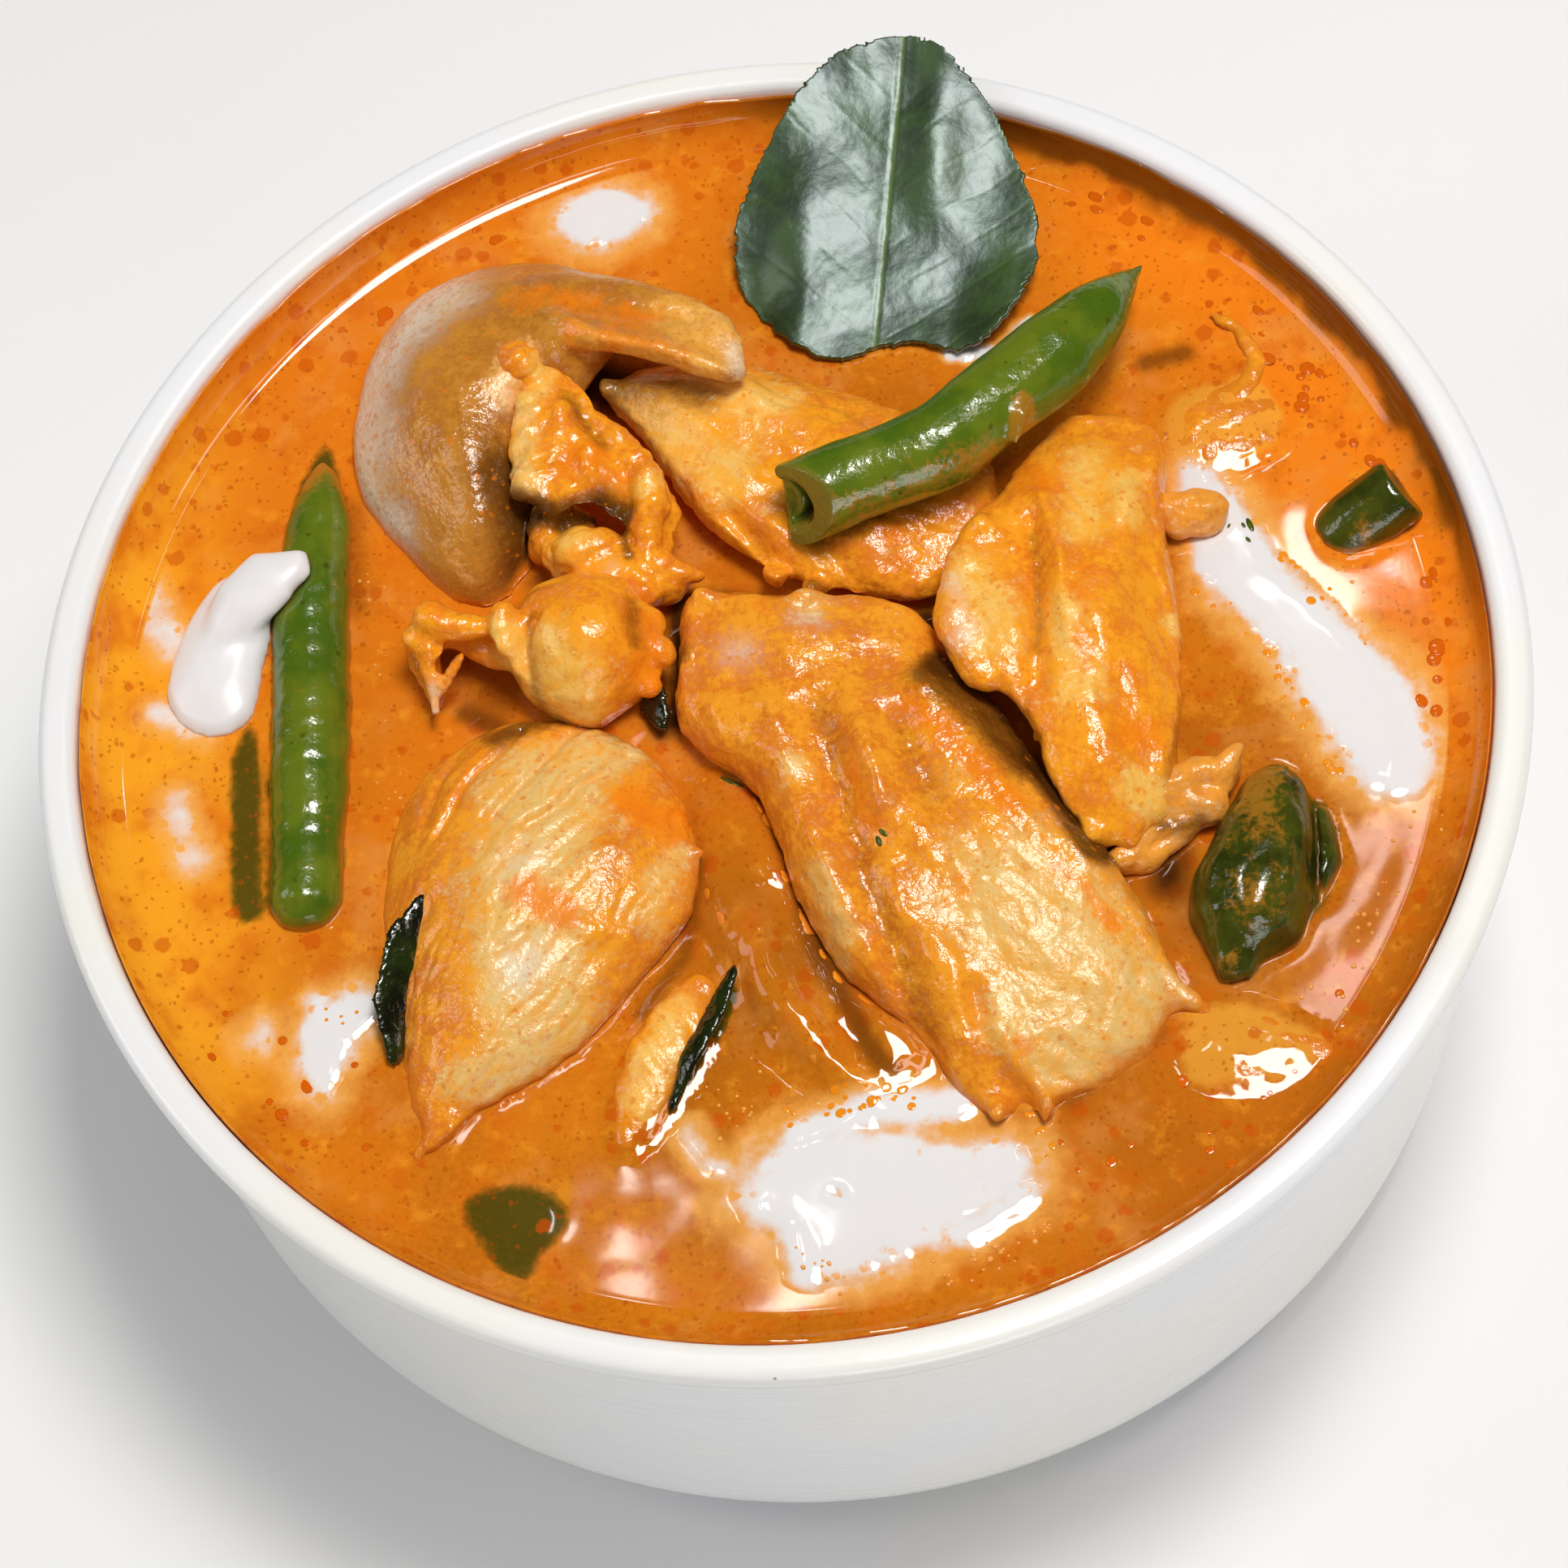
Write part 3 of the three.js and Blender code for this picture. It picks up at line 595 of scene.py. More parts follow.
# node: grain in degrees, layers (kind, length, width, height), voxel, look
MEAT = {
    "chicken_fold": (100, [(swell, 12, 8, 0.4), (swell, 5, 3, 0.12)], 0.8, "brown"),
    "chicken_crinkle": (20, CRINKLE, 0.55, "golden"),
    "chicken_lump": (60, [(swell, 6, 5, 0.3), (swell, 2.2, 1.8, 0.16)], 0.6, "golden"),
    "chicken_back": (-35, [BROAD, FIBRE, (swell, 2.6, 1.5, 0.16)], 0.9, "golden"),
    "chicken_left": (48, [(swell, 12, 7, 0.3), FIBRE, (swell, 2.6, 1.4, 0.1)], 1.0, "pale"),
    "chicken_centre": (-62, [BROAD, (bundles, 9, 2.4, 0.05), GRIT, (swell, 3.4, 2.4, 0.16)], 1.0, "pale"),
    "chicken_right": (-68, [(swell, 9, 6, 0.3), (bundles, 8, 2.2, 0.05), GRIT], 0.8, "golden"),
    "chicken_nub": (0, [(swell, 2.6, 1.4, 0.22)], 0.45, "fatty"),
    "chicken_shreds": (20, [(swell, 4, 2.6, 0.3), (swell, 1.8, 1.2, 0.18)], 0.45, "fatty"),
    "chicken_under": (-70, [BROAD, FIBRE], 0.9, "golden"),
    "chicken_strip": (-58, [(swell, 5, 3, 0.3), (bundles, 6, 1.8, 0.12)], 0.6, "golden"),
    "chicken_flake_right": (-20, [(swell, 5, 4, 0.2)], 0.7, "golden"),
    "chicken_flake_back": (30, [(swell, 5, 3, 0.3), (swell, 2, 1.6, 0.15)], 0.6, "golden"),
}

# %% Knobs of torn tissue: x, y, z and radius, mm; a row with more than one stop is a strand
KNOBS = table("""
chicken_crinkle
-21.7 35.9 67.2 1.7
-18.4 34.1 67.6 1.4
-18 31.9 67.6 1.1
-22.4 32.3 66.8 1.5
-22.1 29 66.8 1.6
-23.7 26.2 66.1 1.4
-21.7 24.3 65.6 1.3
-22.2 41 67.6 2.5
-10.4 24.2 66.6 1.9 -10.2 21 65.9 2.1 -11.3 18.2 64.6 1.4
-19 18.5 63.4 2.8
-16.5 18.6 63.2 2.2
-15.8 14.5 62.6 2.3
-18.8 14.4 62.2 1.9
-12.9 13 62.2 1.9
-11.2 15.5 63.2 1.8 -8.4 14.2 62.6 1.4 -6.6 13.8 62 .8

chicken_lump
-30.7 9.8 65.8 1.3 -33.5 10.2 66.1 1.5 -35.7 11.8 66.4 1.9
-38 10.4 64.8 1.3
-36.4 8.9 64.6 1.3
-37.2 8.6 63.8 1 -36.9 5.8 62.4 .8 -36.9 3 61 .5
-33.2 7.4 64.4 .8 -35 5.8 63.2 .6 -36.4 4.4 62 .5
-27.9 10 67.2 1.5
-28.4 8.3 67.2 1.2
-28.1 6.6 66.4 1.3
-27.2 4.8 65 1
-11.8 4.3 63.4 1.7
-12.4 8.2 63.2 1.6
-13.6 1.2 61.8 1.2

chicken_right
22 7 66.4 2
24.3 10.7 66.5 1.8
20.4 3.6 65.8 1.9
19.4 1.8 65 1.6
19.6 -.6 64.2 1.5
20.8 -1.8 64.4 1.3 20.9 -4.2 62.6 .8
23.4 .8 66.4 1.6
23.2 -4.6 64 1.4
24 -5.6 63.6 .9 24.5 -8 62.4 .5
26.2 -13 62.8 1
29.7 -25.2 61.8 1.8
33.4 -25.9 61 1.6

chicken_shreds
34 -23.8 60.8 1.2 37.5 -21.6 61.3 1.6 41.5 -19.6 61 1.8 44 -20.2 60.8 1.5
44 -20.2 61 1.3 46.4 -18.2 61.8 .6
42.3 -23.6 60 2
40.6 -22.4 60.3 1.8
38.2 -22.8 60 1.6
36.4 -25.2 59.6 1.3 33.8 -26.2 59.8 1.7 31.7 -27.6 59.6 1.3

chicken_nub
44.4 13.2 60.2 1.7 47.6 12.3 60.4 2 50 12.2 60 1.7
45.6 11 59.6 1.6

chicken_centre
-6.6 9.4 64.2 1.3
4.4 6.8 65.6 1.4
35.4 -43.6 58.8 1.4 37.6 -45.6 58 .9
14.6 -53 59.2 1.5
19.4 -53.8 59.4 1.4

chicken_back
1.6 12 62.6 1.4
5.6 9.2 62.1 1.5
-13.2 39.6 62.6 1.3

chicken_left
-41.4 -44 58.6 1.6 -45 -46.4 57.8 1
-11.6 -18.8 60.6 1

chicken_fold
1.4 35.4 67.4 1.5
-15.6 44.4 67.8 1.6
-18.4 42.6 67.6 1.8
""")

# %% Relief of the upper sides: height and width of a stroke in mm, then its course
RELIEF = table("""
chicken_centre
1.2 2.2 -1.8 -5.9 -1.3 -12.5 -.3 -19 1.5 -26.6 2.8 -34.4 5.5 -40.9 9 -48
-1.5 1.9 4.1 -7.1 4.6 -15.1 5.5 -23 6.4 -30.8 7.8 -37.7 9.7 -43.6
.9 1.5 7 -11.1 7.9 -16.2 8.4 -20.7
.8 1.5 7 -26.7 7.9 -32
1.3 2.8 15.8 -7.5 20.1 -15.2 23.4 -23.6 27.7 -30.2
-1.2 2 11.8 -10.6 13.7 -19.8 16.8 -27.1
.6 1.4 -7.3 9.8 -3.1 8.2 1 6.2 5.1 6.6 11.5 5.4 15 3.4
.6 1.2 24.2 -19 27.8 -27.4 32.3 -34.9 35.2 -42
.8 1.3 15.2 -45.6 16.6 -49.5 19.9 -52.4 23.9 -52.7
-1.2 1.1 13.9 -41.2 15.2 -48.3 17.5 -53.7
-2 3.2 17.7 -1.8 20.1 -8.3 23.2 -14.9
.8 1.3 -8.2 7.4 -10 .7 -11.4 -6
-.9 2.5 3.5 -3 10.4 -3.4

chicken_left
.9 1.1 -11.8 -22.2 -13.3 -26.7 -18.4 -32.9 -23.9 -38.8 -31.5 -42 -40.4 -45.3
.6 1.4 -23 -19.1 -20 -18.7
.6 1.4 -24.9 -26.4 -20.4 -28.2
.5 1.4 -23.1 -32.4 -25.3 -36.7
-.8 .7 -23.1 -2.9 -28.2 -8.3 -32.2 -12.4
-.7 .7 -28.2 -1.3 -34.2 -7.1 -38.3 -12.2
-.6 .7 -35.4 -2.9 -39.8 -10
-.8 .7 -17.4 -6.5 -24.3 -12 -29 -15
-.5 .8 -33.2 -27.7 -30.4 -26.3

chicken_right
1 2.4 40.2 10.3 37.4 5.2 34.3 -2.3 32.2 -10.8 32.1 -18.7
.9 1 45 21.4 43.6 16.4 43.7 8 43.2 -2.1 42 -10.8 39.2 -17.1 37.7 -20.3
-1.3 .9 44.6 -4 43.6 -12.9 40.7 -18.6 38.7 -22.7
.6 1.2 34.8 24.5 40.1 24 45.1 21.9
-1.5 1.4 29.6 10 28.9 2 27 -5 26.4 -9
.8 1.2 31.4 13 31.6 4 30.8 -6
.7 1.1 25.5 -12.5 25.1 -19.2 26.7 -24.4 30.3 -27.9

chicken_fold
-2 2.4 -20.7 36.3 -22.7 29.1 -24.6 21.1 -27.1 15.3
-1 2.2 -12.5 46.5 -6 43.8 -2.5 42.6
.9 1.2 -17.1 45.1 -13 41.5 -8 38.3 -2.8 36.2 .5 33.9

chicken_crinkle
.8 1.6 -16.6 27.8
-1.2 1.2 -17.1 37.5 -14.6 29.5 -12.7 25.3
-1.4 1.3 -20.4 22.2 -15.9 23.3 -13.6 21.6
.8 1.2 -13.3 26.8 -10.4 27.2

chicken_lump
.8 4 -19.7 5
-1.6 .9 -24.6 8.8 -26.2 6.2 -25.6 1.2
-1.1 .9 -35.2 8.2 -33.7 8
.6 .7 -25.6 1 -22.3 -.7
-.9 .9 -14.4 9.6 -14.2 4.2

chicken_back
.8 1.5 -10.4 38.6 -4.1 30.9 1.1 23.4
.7 1.5 -3.7 40.5 3.6 33.6
.8 1.7 -12.6 35.8 -5.9 24.8 -2.7 15.8
-1.3 1.2 -2.1 19.8 2.2 12.7
.9 1.3 -6.3 15.4 -.7 11.2 5.2 9
.8 2.5 14 13.9
-1 1.3 7 14.5 10.5 9

chicken_under
1.1 2.4 -8.9 -24.7 -6.8 -33.7 -3.1 -42.8 1 -49.1
-.8 1.6 -3.7 -24.8 -1.8 -34.6 1.8 -43.7
""")

# %% Where flesh is bare
MARKS = {"bare": table("""
chicken_centre
1.1 8.5 20.1 -32.3 24.8 -38.8 28.5 -46
.8 3 17.8 -44.9 22.1 -49.4
.9 1.8 .3 -25.6 2.1 -33.5
.8 2 .4 -14
.6 2.6 4.7 5.1
.6 2 16.6 -18.2

chicken_left
1.15 7 -26 -9.1 -29 -18.1 -30 -28
1.1 4.5 -31.5 -34.6 -27.9 -39.9
.8 2.5 -39.8 -40.4 -33 -39.9
.9 3.5 -18.2 -5.3
.6 3 -24.3 -12
.7 2.5 -14.5 -20 -17.5 -26

chicken_right
.9 1.8 40.4 13.8 39.9 8.7
1 2.8 30.9 -1.7 30.9 -10.7
1.1 2.2 35 -22.3 41.6 -23.6
.9 3 22.4 5.1 23.2 -3.2
.8 1.6 42 -3
.8 2.4 37 18 35 9

chicken_fold
1 2.6 -22.3 41.1 -23.8 38.5
1.6 3.6 -3.7 43.1 -.1 38.6
.8 1.3 -15.4 43 -8.1 38.2 -2 35.4
.5 4 -31 30 -31.5 22

chicken_crinkle
.9 1.8 -19.7 39.8 -22.4 33.8 -23.4 25.3
1 2.6 -19.6 18.6
.9 1.6 -10.6 22.6

chicken_lump
1 4 -24.3 3.7 -21.9 0
.8 1.8 -28.3 7.6

chicken_back
1.2 4 -12.3 38.3 -6.7 30.8
1 3.5 -1.5 37.1 4.1 31.6
1 3.8 -1.5 24.2

chicken_strip
1 2.4 -17 -36 -21 -45
""")}

# %% Where fat shows
MARKS["fat"] = table("""
chicken_fold
1 5.5 -30.4 54.6 -36.6 49.6 -41.6 42.3 -42.9 33.9 -41.5 25.1
.7 1.3 1.2 37.6 1.5 34.8
.3 2.2 -22.3 41.1 -24 37

chicken_crinkle
.25 1.5 -21.8 34 -23 28
.6 1.6 -16 14.6

chicken_right
.6 1.8 20 4 20.6 -2.5

chicken_lump
.7 1.3 -37 5 -36.9 2.6

chicken_left
.8 3.2 -31 -30
.5 3 -30 -19

chicken_centre
.5 3 -3.5 1.5
.4 2.5 4.5 3
""")

# %% Where orange oil has gathered
MARKS["oil"] = table("""
chicken_centre
1 2.2 13.9 -8.8 17.9 -15.5 21.8 -23.1
.9 1.8 5.9 -15.1 6.5 -22
.8 2.4 14.5 -30.3
.8 1.8 18.7 -47.4
.6 2.5 -1.3 6.3
.8 1.5 25 -30 30 -37

chicken_left
1.2 2.6 -29.1 -22.7 -26 -25.2
1.1 2.8 -17.5 -13.4 -14.6 -16.9
.9 1.8 -12 -14.5
.7 2 -33 -3.6 -36 -9

chicken_right
1 3 29.5 20.2 32.1 14.5
.8 1.8 32.1 -9 33.5 2.8
1 2.2 34.2 -16.3 37.7 -16

chicken_fold
.8 3 -21 50.4 -14.1 46.7 -7.3 43.1
.6 2 -16 42.5 -4 37

chicken_crinkle
1.3 2.2 -18 27.2
.9 2 -14.9 28.1

chicken_lump
1.1 2.6 -13.4 6.6 -13.4 .5
.8 1.6 -34.9 11.9

chicken_back
1.2 2.4 15 14.2
.7 2.5 4.7 29.4
.7 2.5 -6.5 21
""")

# %% Painted shade: dark brown in crevices and under overhanging edges, where shade falls
MARKS["crevice_shade"] = table("""
chicken_back
.75 3 -17 43 -10 38.4 -3 34.6
.8 1.3 -16.3 35.5 -10.5 25 -6.7 17.6 -2.1 13
.7 1.3 5.5 9 12 7.4 17.3 5.6
.6 2 8 15 18 17

chicken_fold
.8 3 -25.2 28.6 -24.2 22.5 -24.5 18
.4 6 -27 32 -26 22

chicken_crinkle
1.3 1.4 -24.6 24.6 -20.5 22.6 -16 23.2 -13.6 21.4
.6 1.2 -17.4 36 -14.8 29
.8 .9 -14.2 19.8 -13.6 16

chicken_lump
.55 .8 -25 9.4 -25.8 5.2 -25.4 .6
.9 1.1 -34.2 7.6
.6 1.1 -14.4 9.6 -14.2 4.2

chicken_left
.9 2 -31 -1.4 -22 1 -15 -3.5

chicken_centre
1.9 1.9 17.5 -3.6 22.4 -7 25.4 -12.5 26.8 -20.5 29.6 -28
.8 1.4 -9.8 3
.9 2.6 15.5 -6 20 -11 23.5 -17.5
.45 1.6 4.1 -7.1 4.6 -15.1 5.5 -23 6.4 -30.8 7.8 -37.7 9.7 -43.6
.4 2 12 -11 14 -20

chicken_right
.5 1.1 29.6 9 28.9 2 27 -5
.5 1 38.5 -20.6 41.5 -12.5

chicken_shreds
.7 1.2 37 -25.2 40.9 -25.2
""")

# %% [markdown]
# ## Colours of the meat
#
# Cooked chicken is a pale yellow-brown. A film of curry lies over it, thick in the hollows and
# thin on the ridges, so the material blends between bare flesh and two sauce tones by the
# painted strokes, broken up by a coarse and a fine noise. Without the fine one the colours would
# lie in clean areas, as on painted clay. Painted shade darkens the crevices to brown, the deepest
# nearly to black, and the places under overhanging edges. Where a slice leaves the soup, the
# sauce line gives it the soup's own colour, so that its edge melts in.

# %% Meat material
# look: bare flesh, its second tone, light sauce, dark sauce, how bare it is, reach of the sauce line
FLESH = {
    "pale": ((0.84, 0.55, 0.18), (0.88, 0.45, 0.08), (0.93, 0.36, 0.022), (0.74, 0.19, 0.01), 0.0, 2.2),
    "golden": ((0.95, 0.56, 0.12), (0.97, 0.46, 0.05), (0.98, 0.38, 0.018), (0.84, 0.22, 0.01), 0.04, 1.8),
    "brown": ((0.93, 0.46, 0.09), (0.8, 0.34, 0.04), (0.6, 0.25, 0.03), (0.46, 0.15, 0.012), -0.02, 1.6),
    "fatty": ((0.92, 0.58, 0.24), (0.92, 0.46, 0.13), (0.94, 0.38, 0.045), (0.72, 0.25, 0.02), 0.2, 0.8),
}
SAUCE = (0.74, 0.22, 0.014)
OIL_COLOUR = (0.93, 0.23, 0.006)
FAT_COLOUR = (0.84, 0.78, 0.64)
CREVICE_SHADE_COLOUR = (0.17, 0.055, 0.005)
DEEP_CREVICE_SHADE = (0.045, 0.016, 0.003)
SPICE = (0.78, 0.20, 0.008)


def meat_look(name, flesh, second, light, dark, bare_by, reach):
    look, spot = new_look(name + "_chicken", Specular_IOR_Level=0.6)
    grain = add("Attribute", attribute_name="grain").outputs["Vector"]
    streak = cloud(grain, 1.3, 3, 0.6, (0.22, 1, 1))
    blotch = cloud(spot, 4.5, 3, 0.6)
    grit = cloud(spot, 0.75, 3, 0.7)
    mottle = cloud(spot, 1.7, 4, 0.7)
    flesh = tint(between(streak, 0.38, 0.66), flesh, second)
    sauce = tint(between(total(blotch, around(grit, 0.7)), 0.34, 0.66), light, dark)
    bare = total(
        painted("bare"), around(blotch, 1.5, 0.52 - bare_by), around(streak, 0.9), around(grit, 1.3))
    bare = between(bare, 0.15, 0.85)
    fat = total(painted("fat"), around(grit, 0.5), around(blotch, 0.9))
    oil = total(painted("oil"), around(cloud(spot, 2.6, 3, 0.65), 1.6, 0.60))
    crevice_shade = total(painted("crevice_shade"), around(grit, 0.5))
    fine = use_group(specks, Spot=spot, Spacing=0.95, Size=0.26, Share=0.3)
    large = use_group(specks, Spot=spot, Spacing=2.2, Size=0.18, Share=0.3)
    colour = coats(
        tint(bare, sauce, flesh),
        (between(fat, 0.0, 1.3), 0.85, FAT_COLOUR),
        (between(oil, 0.15, 0.9), 0.8, OIL_COLOUR),
        (between(mottle, 0.53, 0.66), 0.5, light),
        (between(mottle, 0.45, 0.33), 0.45, dark),
        # painted shade: crevices and places under overhanging edges darkened to brown, the deepest nearly to
        # black
        (between(crevice_shade, 0.1, 0.9), 0.85, CREVICE_SHADE_COLOUR),
        (between(crevice_shade, 0.6, 1.5), 0.8, DEEP_CREVICE_SHADE),
        (use_group(sauce_line, Spot=spot, Reach=reach), 0.95, SAUCE),
        (maths("MAXIMUM", fine, large), 0.55, SPICE))
    shade_with("Roughness", maths("MULTIPLY_ADD", bare, 0.12, 0.14))
    finish_wet(spot, colour, 0.8, 0.17)
    return look


MEAT_LOOKS = {name: meat_look(name, *values) for name, values in FLESH.items()}

# %% Make the slices
SUNK = ("chicken_under", "chicken_strip", "chicken_flake_right", "chicken_flake_back")
slices = {}
for number, (node, (degrees, layers, voxel, look)) in enumerate(MEAT.items()):
    piece = skin(node + "_meat", node, voxel, 4, 2 if voxel > 0.6 else 1, KNOBS.get(node, ()))
    moved = sculpt(piece, degrees, layers, RELIEF.get(node, ()), seed=3 * number)
    for name, lines in MARKS.items():
        paint(piece.data, name, strokes(moved, lines.get(node, ())))
    place(piece, "sauced_chicken" if node in SUNK else "chicken", MEAT_LOOKS[look], node)
    slices[node] = piece

# %% [markdown]
# ## Beans and chillies
#
# A green bean is smooth and a little swollen over each seed, and the boiled skin ripples across
# its length, which splits the highlight into a row of glints. A chilli is thicker, with a rough
# stalk end. Both carry a film of sauce, mostly on their lower sides. A cut end is hollow, so its
# middle is pushed in along the bean, and painted, so that the material can show the pale inside.
# The pressed-in middle is painted dark brown: partly sauce in it, partly painted shade.

# %% Green vegetables
RIPPLE = (swell, 1.6, 7, 0.13)
GREENS = {
    "bean_top": (30, [(swell, 9, 9, 0.3), (swell, 2.2, 1.6, 0.07)], 0.7, "green_bean"),
    "bean_left": (90, [(swell, 9, 9, 0.3), RIPPLE], 0.7, "green_bean"),
    "bean_left_thin": (90, [(swell, 6, 6, 0.2)], 0.5, "green_bean"),
    "bean_right": (20, [(swell, 7, 7, 0.2)], 0.5, "green_chilli"),
    "bean_sunk": (60, [(swell, 7, 7, 0.3)], 0.6, "green_bean"),
    "chilli_right": (65, [(swell, 8, 5, 0.45), (bundles, 9, 2.6, 0.12)], 0.6, "green_chilli"),
    "chilli_right_back": (75, [(swell, 8, 5, 0.3)], 0.6, "green_chilli"),
}
# bean: middle of its cut end, the way the cut faces, radius and depth of the hollow
CUTS = {
    "bean_top": ((4.6, 16.2, 69.2), (-0.68, -0.60, 0.42), 4.0, 2.6),
    "bean_right": ((71.6, 10.4, 61.6), (0.78, 0.22, 0.58), 3.2, 0.8),
}
GREEN_KNOBS = table("""
chilli_right
41.4 -40.8 59 2.2
40.6 -41.8 58.6 1.5
42.6 -42 58.8 1.2

bean_top
31.1 22 73.2 .6 30.4 19.8 72.9 .8 29.6 17.8 71.4 .6
""")
FILM = table("""
bean_top
.3 2 9 12 18 13.6 27 16.2 34 20
1.2 .9 31 21.6 29.8 18

chilli_right
.55 3.4 48 -19 47 -25
.3 3 47 -30 45 -36
.5 1.4 41 -41.6

bean_left
.7 3 -47 43 -49 37

bean_right
.4 1.6 62 4 66 5
""")
PRESSED = 0.3  # how far two greens lie under the soup, mm


def hollow_end(piece, middle, outwards, radius, depth):
    """Cuts the end off in a plane and presses its middle in."""
    mesh = piece.data
    points = points_of(mesh)
    outwards = np.array(outwards) / np.linalg.norm(outwards)
    offset = points - middle
    along = offset @ outwards
    off = np.linalg.norm(offset - along[:, None] * outwards, axis=1)
    near = off < 2.5 * radius
    cut_off = np.where((along > 0) & near, along, 0)
    along = along - cut_off
    face = 1 - step(0.15, 0.7, np.abs(along))
    cap = (1 - step(0.4 * radius, 0.8 * radius, off)) * (1 - step(0.8, 1.6, np.abs(along)))
    points -= (cut_off + depth * cap)[:, None] * outwards
    move_points(mesh, points)
    paint(mesh, "cut", face * near)
    paint(mesh, "hollow", cap)


def draw_to_point(piece, tip, axis, length):
    """Thins the last part of a pod towards its tip."""
    points = points_of(piece.data)
    axis = np.array(axis) / np.linalg.norm(axis)
    offset = points - tip
    along = offset @ axis
    away = offset - along[:, None] * axis
    points -= (1 - np.sin(0.5 * math.pi * np.clip((0.8 - along) / length, 0.06, 1)))[:, None] * away
    move_points(piece.data, points)


def sink(piece, depth):
    """Presses the top of a piece to that depth under the soup."""
    points = points_of(piece.data)
    points[:, 2] = np.minimum(points[:, 2], SOUP - depth)
    move_points(piece.data, points)


def green_look(name, light, dark, reach, filmed):
    look, spot = new_look(name, Roughness=0.16, Specular_IOR_Level=0.8)
    grit = cloud(spot, 0.8, 3, 0.65)
    film = total(cloud(spot, 5, 4, 0.6), painted("film"), around(grit, 0.9))
    colour = coats(
        tint(between(cloud(spot, 6, 4), 0.36, 0.64), light, dark),
        (painted("cut"), 0.7, (0.21, 0.145, 0.02)),
        # painted shade in the hollow of a cut end, dark brown, partly sauce in it
        (painted("hollow"), 0.9, (0.14, 0.06, 0.008)),
        (between(film, 0.62 - filmed, 1.0 - filmed), 0.8, (0.42, 0.18, 0.014)),
        (use_group(sauce_line, Spot=spot, Reach=reach, Blotch=6.0), 0.9, (0.52, 0.17, 0.014)),
        (use_group(specks, Spot=spot, Spacing=1.5, Size=0.2, Share=0.3), 0.5, (0.05, 0.03, 0.003)))
    finish_wet(spot, colour, 0.8, 0.1)
    return look


GREEN_LOOKS = {
    "green_bean": green_look("green_bean_skin", (0.14, 0.19, 0.01), (0.07, 0.135, 0.007), 1.6, 0.0),
    "green_chilli": green_look("green_chilli_skin", (0.066, 0.08, 0.006), (0.025, 0.034, 0.003), 1.0, -0.04),
}
greens = {}
for number, (node, (degrees, layers, voxel, slot)) in enumerate(GREENS.items()):
    piece = skin(node + "_pod", node, voxel, 5, 1, GREEN_KNOBS.get(node, ()))
    moved = sculpt(piece, degrees, layers, plump=0.05, seed=60 + 3 * number)
    paint(piece.data, "film", strokes(moved, FILM.get(node, ())))
    if node in CUTS:
        hollow_end(piece, *CUTS[node])
    place(piece, slot, GREEN_LOOKS[slot], node)
    greens[node] = piece
draw_to_point(greens["bean_top"], (49.2, 43.0, 64.6), (4.4, 4.6, -2.0), 15)
sink(greens["bean_sunk"], PRESSED)
sink(greens["bean_left_thin"], PRESSED)

# %% [markdown]
# ## Lime leaf and leaf shreds
#
# The leaf is a double lime leaf's half: leathery, with a sunken midrib and side veins. It is
# gently cupped and folded, so that the overhead lamp lies on it as broad bluish bands with dark
# green between them. The bands come from the shape. The CAD blade is made of flat facets, so one
# curved sheet is laid through it first, and then bent. Its edge is finely scalloped and has a
# notch beside the tip.

# %% Leaf
RIB_START, RIB_END = np.array([17.0, 41.0]), np.array([26.5, 75.0])
RIB = (RIB_END - RIB_START) / np.linalg.norm(RIB_END - RIB_START)
THICKNESS = 0.7  # mm
VEIN_SPACING = 5.6

leaf = skin("lime_leaf_blade", "lime_leaf", 0.25, 6, 0, swollen=0.25)
points = points_of(leaf.data)
flat = points[:, :2] - RIB_START
along = flat @ RIB
off = flat[:, 0] * RIB[1] - flat[:, 1] * RIB[0]
side = np.abs(off)
bends = np.stack([np.ones(len(off)), along, off, along * along, along * off, off * off], axis=1)
blade = bends @ np.linalg.lstsq(bends, points[:, 2], rcond=None)[0]
phase = (along - 0.75 * side + 0.6 * swell(points, 6, 90)) / VEIN_SPACING
vein = (1 - step(0.0, 0.08, np.abs(phase - np.round(phase)))) * step(0.6, 2.0, side)
midrib = 1 - step(0.15, 0.5, side)
blade += 0.035 * swell(points, (1.6, 1.6, 9), 91) + 0.014 * swell(points, (0.8, 0.8, 9), 92)
blade += 0.55 * swell(points, (8, 8, 90), 94) - 0.03 * vein - 0.10 * midrib
blade += 0.062 * along - 0.06 * off
blade += 0.9 * np.exp(-(((off - 5) / 3) ** 2)) * step(12, 20, along)
blade -= 2.0 * step(8, 17, -off) * (1 - step(20, 30, along))
blade += 1.9 * (step(8, 15, off) - step(8, 15, -off)) * (1 - step(3, 13, along))
outwards = points[:, :2] - points[:, :2].mean(axis=0)
reach = np.linalg.norm(outwards, axis=1)
turn = np.arctan2(outwards[:, 1], outwards[:, 0])
scallop = (0.07 * np.abs(np.sin(21 * turn)) + 0.35 * swell(points, (4, 4, 90), 93)) * step(10, 17, reach)
scallop -= strokes(points, [(1.3, 0.9, 33.9, 74.4), (0.8, 0.7, 29.8, 75.6)])
skin_height = THICKNESS / 2 * np.clip(3 * normals_of(leaf.data)[:, 2], -1, 1)
points[:, 2] = np.maximum(blade, SOUP + 0.4) + skin_height
points[:, :2] += outwards / np.maximum(reach, 1e-6)[:, None] * scallop[:, None]
move_points(leaf.data, points)
paint(leaf.data, "vein", np.maximum(0.12 * vein, midrib))

